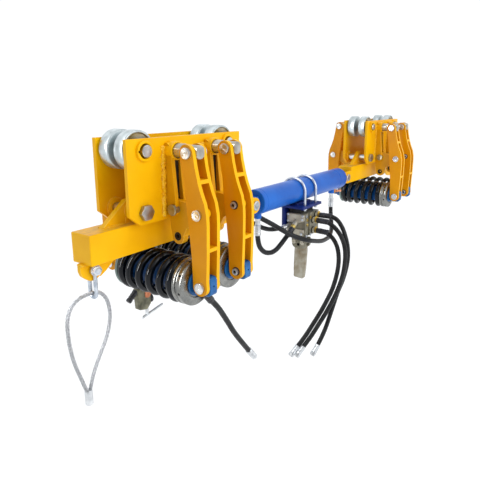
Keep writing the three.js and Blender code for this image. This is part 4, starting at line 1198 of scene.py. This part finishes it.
pose_piece(cylinder, "drive_cylinder", "left_trolley", "blue_paint", royal_blue)
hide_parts("drive_cylinder_barrel")
for i, x in enumerate(PORTS, 1):
    for word, length, radius in PORT_NUTS:
        hex_nut(at(x, 0, PORT_HEIGHTS[word]), DOWN, length, radius, crimp_zinc,
                f"port_{i}_{word}", "left_trolley", "zinc_steel")
    pose_piece(turned(PORT_NECK, at(x, 0, PORT_HEIGHTS["neck"]), DOWN, 28), f"port_{i}_neck",
               "left_trolley", "zinc_steel", crimp_zinc)
hex_nut(at(BLEED["x"], 0, BLEED["fitting_z"]), DOWN, BLEED["length"], BLEED["r"], crimp_zinc,
        "bleed_fitting", "left_trolley", "zinc_steel")
elbow = joined(turned(BLEED_ELBOW, at(BLEED["x"], 0, BLEED["elbow_z"]), DOWN, 28),
               turned(BLEED_BRANCH, at(BLEED["x"], 0, BLEED["branch_z"]), (0.75, -0.66, 0), 28))
pose_piece(elbow, "bleed_elbow", "left_trolley", "zinc_steel", union_copper)
for word, x, neck, way in DRIVE_EYES:
    rise = way * DRIVE_EYE["r"]
    outline = [(neck, DRIVE_Z + rise),
               *arc(x, DRIVE_Z, DRIVE_EYE["r"], 90 * way, 90 * way + 180),
               (neck, DRIVE_Z - rise)]
    moulded(plate_of(outline, -DRIVE_EYE["half"], DRIVE_EYE["half"], "Y"), 2,
            f"{word}_drive_eye", f"{word}_trolley", "blue_paint", royal_blue)
    middle = at(x, 0, DRIVE_Z)
    pin = joined(turned(disc(DRIVE_PIN["r"], -DRIVE_PIN["half"], DRIVE_PIN["half"]), middle,
                        (0, 1, 0), 32),
                 *[turned(DRIVE_PIN_HEAD, middle, (0, side, 0), 36) for side in (-1, 1)])
    pose_piece(pin, f"{word}_drive_pin", f"{word}_trolley", "zinc_steel", bright_steel)
rod = pose_piece(turned(ROD_DRAW, at(0, 0, DRIVE_Z), (1, 0, 0), 48), "drive_rod", "right_trolley",
                 "chrome", chrome_rod)
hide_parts("drive_cylinder_rod")


# Tube clamp: a navy saddle plate and pad under the cylinder, held by two zinc-plated U-bolts with
# nuts below, and a leg bent down from its far edge. Under the plate is the valve's near-black
# gasket, painted shade in the gap.
CLAMP = {"from": 878, "to": 1050, "half": 78, "top": -264, "bottom": -276}
UBOLT_X = (925, 1025)
UBOLT = {"r": 59, "bar": 6, "leg": 86, "knee": 40, "hole": 6.6}
UBOLT_NUT = {"z": -276.2, "length": 8, "r": 10.5}
CLAMP_MIDDLE = (CLAMP["top"] + CLAMP["bottom"]) / 2
CLAMP_PAD = (905, 1030, -30, 30, -266, -256.6)
CLAMP_LEG = (CLAMP["from"], CLAMP["to"], 20, 34, -380, -274)
navy_paint = finish("navy_paint", ((0.003, 0.01, 0.09), (0.007, 0.022, 0.17)), 0.38, patch=12,
                    grain=400, relief=0.15, gleam=0.2, specks=((0.04, 0.06, 0.2), 60, -0.03))
bolt_zinc = finish("bolt_zinc", ((0.5, 0.55, 0.62), (0.72, 0.76, 0.82)), 0.3, metallic=0.85,
                   patch=50, grain=700, relief=0.15)


def bow_of(x, z, size, way, steps):
    """A bar bent to a bow with two straight legs, its bow up (way 1) or down (way -1)."""
    r, leg, knee = size["r"], z - way * size["leg"], z - way * size["knee"]
    turns = [math.pi * i / steps for i in range(steps + 1)]
    bow = [at(x, -r * math.cos(turn), z + way * r * math.sin(turn)) for turn in turns]
    return bar_of([at(x, -r, leg), at(x, -r, knee), *bow, at(x, r, knee), at(x, r, leg)],
                  size["bar"], 5)


plate = block_of(CLAMP["from"], CLAMP["to"], -CLAMP["half"], CLAMP["half"], CLAMP["bottom"],
                 CLAMP["top"])
drill(plate, [at(x, y, CLAMP_MIDDLE) for x in UBOLT_X for y in (-UBOLT["r"], UBOLT["r"])],
      UBOLT["hole"], "Z", 0.05, 24)
saddle = joined(*[smooth(soften(part, 1.6))
                  for part in (plate, block_of(*CLAMP_PAD), block_of(*CLAMP_LEG))])
pose_piece(saddle, "saddle_plate", "left_trolley", "navy_paint", navy_paint)
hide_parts("tube_clamp")
ubolts = smooth(joined(*[bow_of(x, DRIVE_Z, UBOLT, 1, 24) for x in UBOLT_X]), 40)
pose_piece(ubolts, "tube_ubolts", "left_trolley", "zinc_steel", bolt_zinc)
for i, x in enumerate(UBOLT_X, 1):
    for row, y in (("near", -UBOLT["r"]), ("far", UBOLT["r"])):
        hex_nut(at(x, y, UBOLT_NUT["z"]), DOWN, UBOLT_NUT["length"], UBOLT_NUT["r"], bolt_zinc,
                f"ubolt_nut_{row}_{i}", "left_trolley", "zinc_steel")


# Control valve: a cast alloy block bolted under the saddle over a near-black gasket and neck, which
# are painted shade in the gap under the saddle. A lighter cover and two elbows are on its left
# face.
# On its near face three ports, each with a cream nut on a near-black ring that is a painted shadow
# around the nut, a brass neck and a yellow tag, take the supply hoses.
valve_alloy = finish("valve_alloy", ((0.15, 0.14, 0.1), (0.33, 0.31, 0.24)), 0.5, metallic=0.35,
                     patch=22, grain=260, relief=0.5, specks=((0.1, 0.08, 0.05), 40, 0.02))
cover_alloy = finish("cover_alloy", ((0.42, 0.39, 0.31), (0.62, 0.58, 0.48)), 0.45, metallic=0.35,
                     patch=26, grain=240, relief=0.4, specks=((0.2, 0.14, 0.07), 44, 0.0))
port_brass = finish("port_brass", ((0.42, 0.29, 0.07), (0.75, 0.58, 0.2)), 0.28, metallic=0.95,
                    patch=70, relief=0.2, specks=((0.16, 0.1, 0.03), 130, 0.03))
port_cream = finish("port_cream", ((0.5, 0.47, 0.35), (0.8, 0.77, 0.62)), 0.34, metallic=0.4,
                    patch=60, relief=0.2, specks=((0.2, 0.16, 0.08), 120, 0.0))
tag_yellow = finish("tag_yellow", ((0.75, 0.4, 0.005), (0.9, 0.55, 0.02)), 0.45, patch=60,
                    relief=0.2)
# gasket_painted_shade: near-black for the valve's gasket and neck and the port rings, painted shade
# and shadow in the gaps.
gasket_painted_shade = finish("gasket_painted_shade", ((0.01, 0.01, 0.011), (0.03, 0.03, 0.03)), 0.7, patch=60,
                      relief=0.4)
VALVE = {"from": 902, "to": 1028, "left": 896.5, "near": -75, "sunk": 0.5}
BODY_OUTLINE = [(-75, -300), (-75, -396), (-62, -412), (8, -412), (19.6, -398), (19.6, -300)]
WAIST = (930, 945, -90, -66, -412, -300)
BOLT_WAY = {"at": ((908, 21), (1020, 21)), "top": -290, "section": disc(7, -10, 130)}
COVER_OUTLINE = [(-73, -302), (-73, -330), (-40, -344), (17, -344), (17, -302)]
BASE_OUTLINE = [(-70, -372), (-70, -396), (-58, -409), (6, -409), (16, -398), (16, -372)]
SCREW = [(2.6, 0), (5.4, 0), (5.4, 4.2), (4.8, 5), (2.6, 5), (2.6, 2), (0, 2), (0, 0)]
LEFT_SCREWS = ((-66, -308), (10, -308), (-64, -325), (10, -337), (-60, -392), (4, -392))
NEAR_SCREWS = ((912, -310), (1019, -345), (1019, -400), (950, -402), (912, -402))
PLUG = [(3.6, 0), (7.6, 0), (7.6, 2.4), (6.6, 3.4), (3.6, 3.4), (3.6, 1), (0, 1), (0, 0)]
PLUGS = ((922, -352), (950, -322), (922, -330))
SUPPLY_PORTS = ((975, -338), (975, -386), (1001, -318))
# The near-black ring under each port's nut is a painted shadow around the nut.
PORT_SHADE_RING = [(0, -1), (16.4, -1), (16.4, 2.4), (15.4, 3.4), (0, 3.4)]
PORT_COLLAR = [(0, 11.5), (9.5, 11.5), (9.5, 16), (13.6, 16), (13.6, 18.6), (9, 18.6), (9, 22),
               (0, 22)]
# The turned pieces of each supply port, and its six-sided ones with their places and sizes.
PORT_ROUNDS = (("seal", PORT_SHADE_RING, gasket_painted_shade), ("neck", PORT_COLLAR, port_brass))
PORT_HEXES = (
    ("nut", -78.4, 9, 15, port_cream, "zinc_steel"),
    ("union", -96.5, 15.6, 12.6, crimp_dark, "olive_metal"),
)
TAG = {"r": 12, "rise": 6, "foot": 3, "out": -93, "in": -90.5, "bore": 9.2}
ELBOWS = (((905, -30, -334), (866.2, -30, -361.5)), ((905, 5, -361), (868.3, 5, -361)))
ELBOW = {"r": 11, "base": 1.8, "neck": 2, "nut": 15, "nut_start": 0.0155}
NEARWARD = (0, -1, 0)
body = plate_of(BODY_OUTLINE, VALVE["from"], VALVE["to"], "X")
trim(body, block_of(*WAIST))
for x, y in BOLT_WAY["at"]:
    trim(body, turned(BOLT_WAY["section"], at(x, y, BOLT_WAY["top"]), DOWN, 20))
VALVE_PARTS = (
    ("valve_body", body, 2.4, valve_alloy),
    # The neck and gasket are near-black, painted shade under the saddle.
    ("valve_neck_shade", block_of(906, 1022, -48, 10, -301, -284), 2, gasket_painted_shade),
    ("valve_gasket_shade", block_of(904, 1024, -50, 12, -284.5, -276.2), 1.2, gasket_painted_shade),
    ("valve_cover", plate_of(COVER_OUTLINE, 896, 903, "X"), 1.6, cover_alloy),
    ("valve_base_cover", plate_of(BASE_OUTLINE, VALVE["left"], 903, "X"), 1.6, cover_alloy),
)
for name, piece, edge, material in VALVE_PARTS:
    moulded(piece, edge, name, "left_trolley", "olive_metal", material)
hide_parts("valve_block")
face = VALVE["near"] + VALVE["sunk"]
screws = [turned(SCREW, at(VALVE["left"], y, z), (-1, 0, 0), 20) for y, z in LEFT_SCREWS]
screws += [turned(SCREW, at(x, face, z), NEARWARD, 20) for x, z in NEAR_SCREWS]
pose_piece(joined(*screws), "valve_screws", "left_trolley", "olive_metal", bolt_zinc)
plugs = [turned(PLUG, at(x, face, z), NEARWARD, 24) for x, z in PLUGS]
pose_piece(joined(*plugs), "valve_plugs", "left_trolley", "olive_metal", port_brass)
for i, (x, z) in enumerate(SUPPLY_PORTS, 1):
    for word, section, metal in PORT_ROUNDS:
        pose_piece(turned(section, at(x, VALVE["near"], z), NEARWARD, 32),
                   f"supply_port_{i}_{word}", "left_trolley", "olive_metal", metal)
    for word, y, length, radius, metal, slot in PORT_HEXES:
        hex_nut(at(x, y, z), NEARWARD, length, radius, metal, f"supply_port_{i}_{word}",
                "left_trolley", slot)
    tag = plate_of([(x - TAG["r"], z + TAG["foot"]), *arc(x, z + TAG["rise"], TAG["r"], 180, 0),
                    (x + TAG["r"], z + TAG["foot"])], TAG["out"], TAG["in"], "Y")
    drill(tag, [at(x, TAG["out"] + 1, z)], TAG["bore"], "Y", 0.02, 24)
    moulded(tag, 0.5, f"supply_port_{i}_tag", "left_trolley", "olive_metal", tag_yellow)
for i, (start, stop) in enumerate(ELBOWS, 1):
    start, stop = at(*start), at(*stop)
    way, reach = (stop - start).normalized(), (stop - start).length * 1000
    r, wide, neck = ELBOW["r"], ELBOW["r"] + ELBOW["base"], ELBOW["r"] - ELBOW["neck"]
    section = [(0, 0), (wide, 0), (wide, 9), (neck, 10), (neck, 16), (r, 17),
               (r, reach - ELBOW["nut"]), (0, reach - ELBOW["nut"])]
    pose_piece(turned(section, start, way, 32), f"valve_elbow_{i}", "left_trolley",
               "olive_metal", cover_alloy)
    hex_nut(stop - way * ELBOW["nut_start"], way, ELBOW["nut"], r + 1,
            port_brass if i == 1 else crimp_zinc, f"valve_elbow_{i}_nut", "left_trolley",
            "olive_metal")


# Valve lever: a cast alloy grip, flat and slightly waisted, that hangs from a pin between two ears
# under the valve. It is stained brown in patches from hands and oil.
LEVER_OUTLINE = [(-60, -430), (-34, -430), (-24, -440), (-20, -456), (-17, -540), (-17, -588),
                 *arc(-25, -596, 8, 0, -80), (-58, -605.5), *arc(-60, -597, 8.5, -90, -170),
                 (-74, -560), (-80, -470), (-78, -450), (-72, -438)]
EARS = ((891, 901), (929, 939))
EAR_OUTLINE = [(-86, -409), (-86, -436), *arc(-66, -438, 20, 180, 265), *arc(-34, -438, 20, -85, 0),
               (-12, -424), (-12, -409)]
LEVER = {"from": 905, "to": 925, "y": -48, "z": -440, "bore": 7.5}
LEVER_PIN = {"from": 891, "section": disc(7, 0, 48)}
SIDE_PINS = {"y": (-70, -26), "z": -428, "eyed_x": 892, "plain_x": 931}
EYED_PIN = [(0, 0), (9.5, 0), (9.5, 7), (8.4, 8.4), (3, 8.4), (3, 6), (0, 6)]
PLAIN_PIN = [(0, 0), (9.5, 0), (9.5, 7), (8.4, 8.4), (0, 8.4)]
lever_stain = finish("lever_stain", ((0.22, 0.17, 0.1), (0.43, 0.41, 0.34)), 0.42, metallic=0.4,
                     patch=28, grain=240, relief=0.35, specks=((0.26, 0.12, 0.03), 36, 0.02))
lever = plate_of(LEVER_OUTLINE, LEVER["from"], LEVER["to"], "X")
drill(lever, [at((LEVER["from"] + LEVER["to"]) / 2, LEVER["y"], LEVER["z"])], LEVER["bore"], "X",
      0.06, 24)
moulded(lever, 4.0, "lever_grip", "left_trolley", "olive_metal", lever_stain, 40, segments=2)
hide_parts("valve_lever")
ears = [smooth(soften(plate_of(EAR_OUTLINE, low, high, "X"), 1.6)) for low, high in EARS]
pose_piece(joined(*ears), "lever_ears", "left_trolley", "olive_metal", valve_alloy)
pins = [turned(LEVER_PIN["section"], at(LEVER_PIN["from"], LEVER["y"], LEVER["z"]), (1, 0, 0), 28)]
for y in SIDE_PINS["y"]:
    for x, section in ((SIDE_PINS["eyed_x"], EYED_PIN), (SIDE_PINS["plain_x"], PLAIN_PIN)):
        pins.append(turned(section, at(x, y, SIDE_PINS["z"]), (-1, 0, 0), 28))
pose_piece(joined(*pins), "lever_pins", "left_trolley", "olive_metal", cover_alloy)


# Tow shackle: a galvanised D-shackle through the left beam's lug, its bow hanging down, closed by a
# screw pin with a six-sided head on the near side.
SHACKLE = {"x": -140, "z": -324, "r": 12.6, "bar": 5.4, "leg": 72, "knee": 30}
SHACKLE_EYE = [(8.6, 7.6), (12, 7.6), (13, 8.6), (13, 16.6), (12, 17.6), (8.6, 17.6)]
SHACKLE_PIN = [(0, -29), (7.4, -29), (8.5, -27.8), (8.5, 22.8), (7.4, 24), (0, 24)]
SHACKLE_WASHER = [(8.6, 17.8), (15.4, 17.8), (15.4, 19.4), (14.6, 20), (8.6, 20)]
SHACKLE_HEAD = {"y": -20.2, "length": 7.5, "r": 14}
shackle_zinc = finish("shackle_zinc", ((0.34, 0.4, 0.48), (0.66, 0.7, 0.76)), 0.3, metallic=0.85,
                      patch=60, grain=500, relief=0.3, specks=((0.12, 0.13, 0.15), 110, 0.02))
pin_at = at(SHACKLE["x"], 0, TOW["z"])
bow = smooth(bow_of(SHACKLE["x"], SHACKLE["z"], SHACKLE, -1, 20), 40)
eyes = [turned(SHACKLE_EYE, pin_at, (0, way, 0), 32) for way in (-1, 1)]
bow = pose_piece(joined(bow, *eyes), "shackle_bow", "tow_shackle", "zinc_steel", shackle_zinc)
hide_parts("tow_shackle")
pose_piece(turned(SHACKLE_PIN, pin_at, (0, 1, 0), 32), "shackle_pin", "tow_shackle",
           "zinc_steel", shackle_zinc)
pose_piece(turned(SHACKLE_WASHER, pin_at, NEARWARD, 32), "shackle_washer", "tow_shackle",
           "zinc_steel", bolt_zinc)
hex_nut(at(SHACKLE["x"], SHACKLE_HEAD["y"], TOW["z"]), NEARWARD, SHACKLE_HEAD["length"],
        SHACKLE_HEAD["r"], bolt_zinc, "shackle_pin_head", "tow_shackle", "zinc_steel")


# Studio: a pale floor far below the hanging car, a white backdrop whose light is dimmer at the
# car's left end, one large lamp on the near side, and a narrow upright one that is seen in
# reflections only, for the gloss on the springs.
FLOOR = {"size": 400, "z": -1.75}
BRIGHT_WAY = (0.72, 0.24, 0.65)
WASH = {"From Min": -0.8, "From Max": 0.55, "To Min": 0.14, "To Max": 1.2}
BACKDROP = 1.06
# Each lamp with its place, target, size and power, and whether it lights dull surfaces.
LAMPS = (
    ("near_side_lamp", (-0.6, -3.4, 1.2), (0.0, 0.0, -0.1), (2.4, 2.4), 50, True),
    ("gloss_lamp", (-3.4, 0.8, 0.9), (-0.9, 0.0, -0.3), (0.42, 2.6), 110, False),
)

pick()
bpy.ops.mesh.primitive_plane_add(size=FLOOR["size"], location=(0, 0, FLOOR["z"]))
floor = bpy.context.object
floor.name = "studio_floor"
floor_paint = bpy.data.materials.new("studio_floor")
floor_paint.use_nodes = True
feed(floor_paint, floor_paint.node_tree.nodes["Principled BSDF"], {
    "Base Color": (0.95, 0.95, 0.95, 1), "Emission Color": (1, 1, 1, 1),
    "Emission Strength": 0.08, "Roughness": 0.9})
floor.data.materials.append(floor_paint)

surround = bpy.data.worlds.new("surround")
surround.use_nodes = True
direction = add_node(surround, "TexCoord", {}).outputs["Generated"]
across = add_node(surround, "VectorMath", {0: direction, 1: BRIGHT_WAY},
                  operation="DOT_PRODUCT")
wash = add_node(surround, "MapRange", {"Value": across.outputs["Value"], **WASH})
ray = add_node(surround, "LightPath", {})
backdrop = add_node(surround, "Mix", {"Factor": ray.outputs["Is Camera Ray"],
                                      "A": wash.outputs["Result"], "B": BACKDROP})
feed(surround, surround.node_tree.nodes["Background"], {
    "Color": (0.97, 0.985, 1, 1), "Strength": backdrop.outputs["Result"]})
bpy.context.scene.world = surround
bpy.context.scene.view_settings.view_transform = "Standard"

for name, place, target, size, power, on_paint in LAMPS:
    lamp_data = bpy.data.lights.new(name, "AREA")
    lamp_data.shape = "RECTANGLE"
    lamp_data.size, lamp_data.size_y = size
    lamp_data.energy = power
    lamp = bpy.data.objects.new(name, lamp_data)
    bpy.context.collection.objects.link(lamp)
    lamp.location = place
    lamp.rotation_euler = (Vector(target) - Vector(place)).to_track_quat("-Z", "Y").to_euler()
    lamp.visible_camera = False
    lamp.visible_diffuse = on_paint
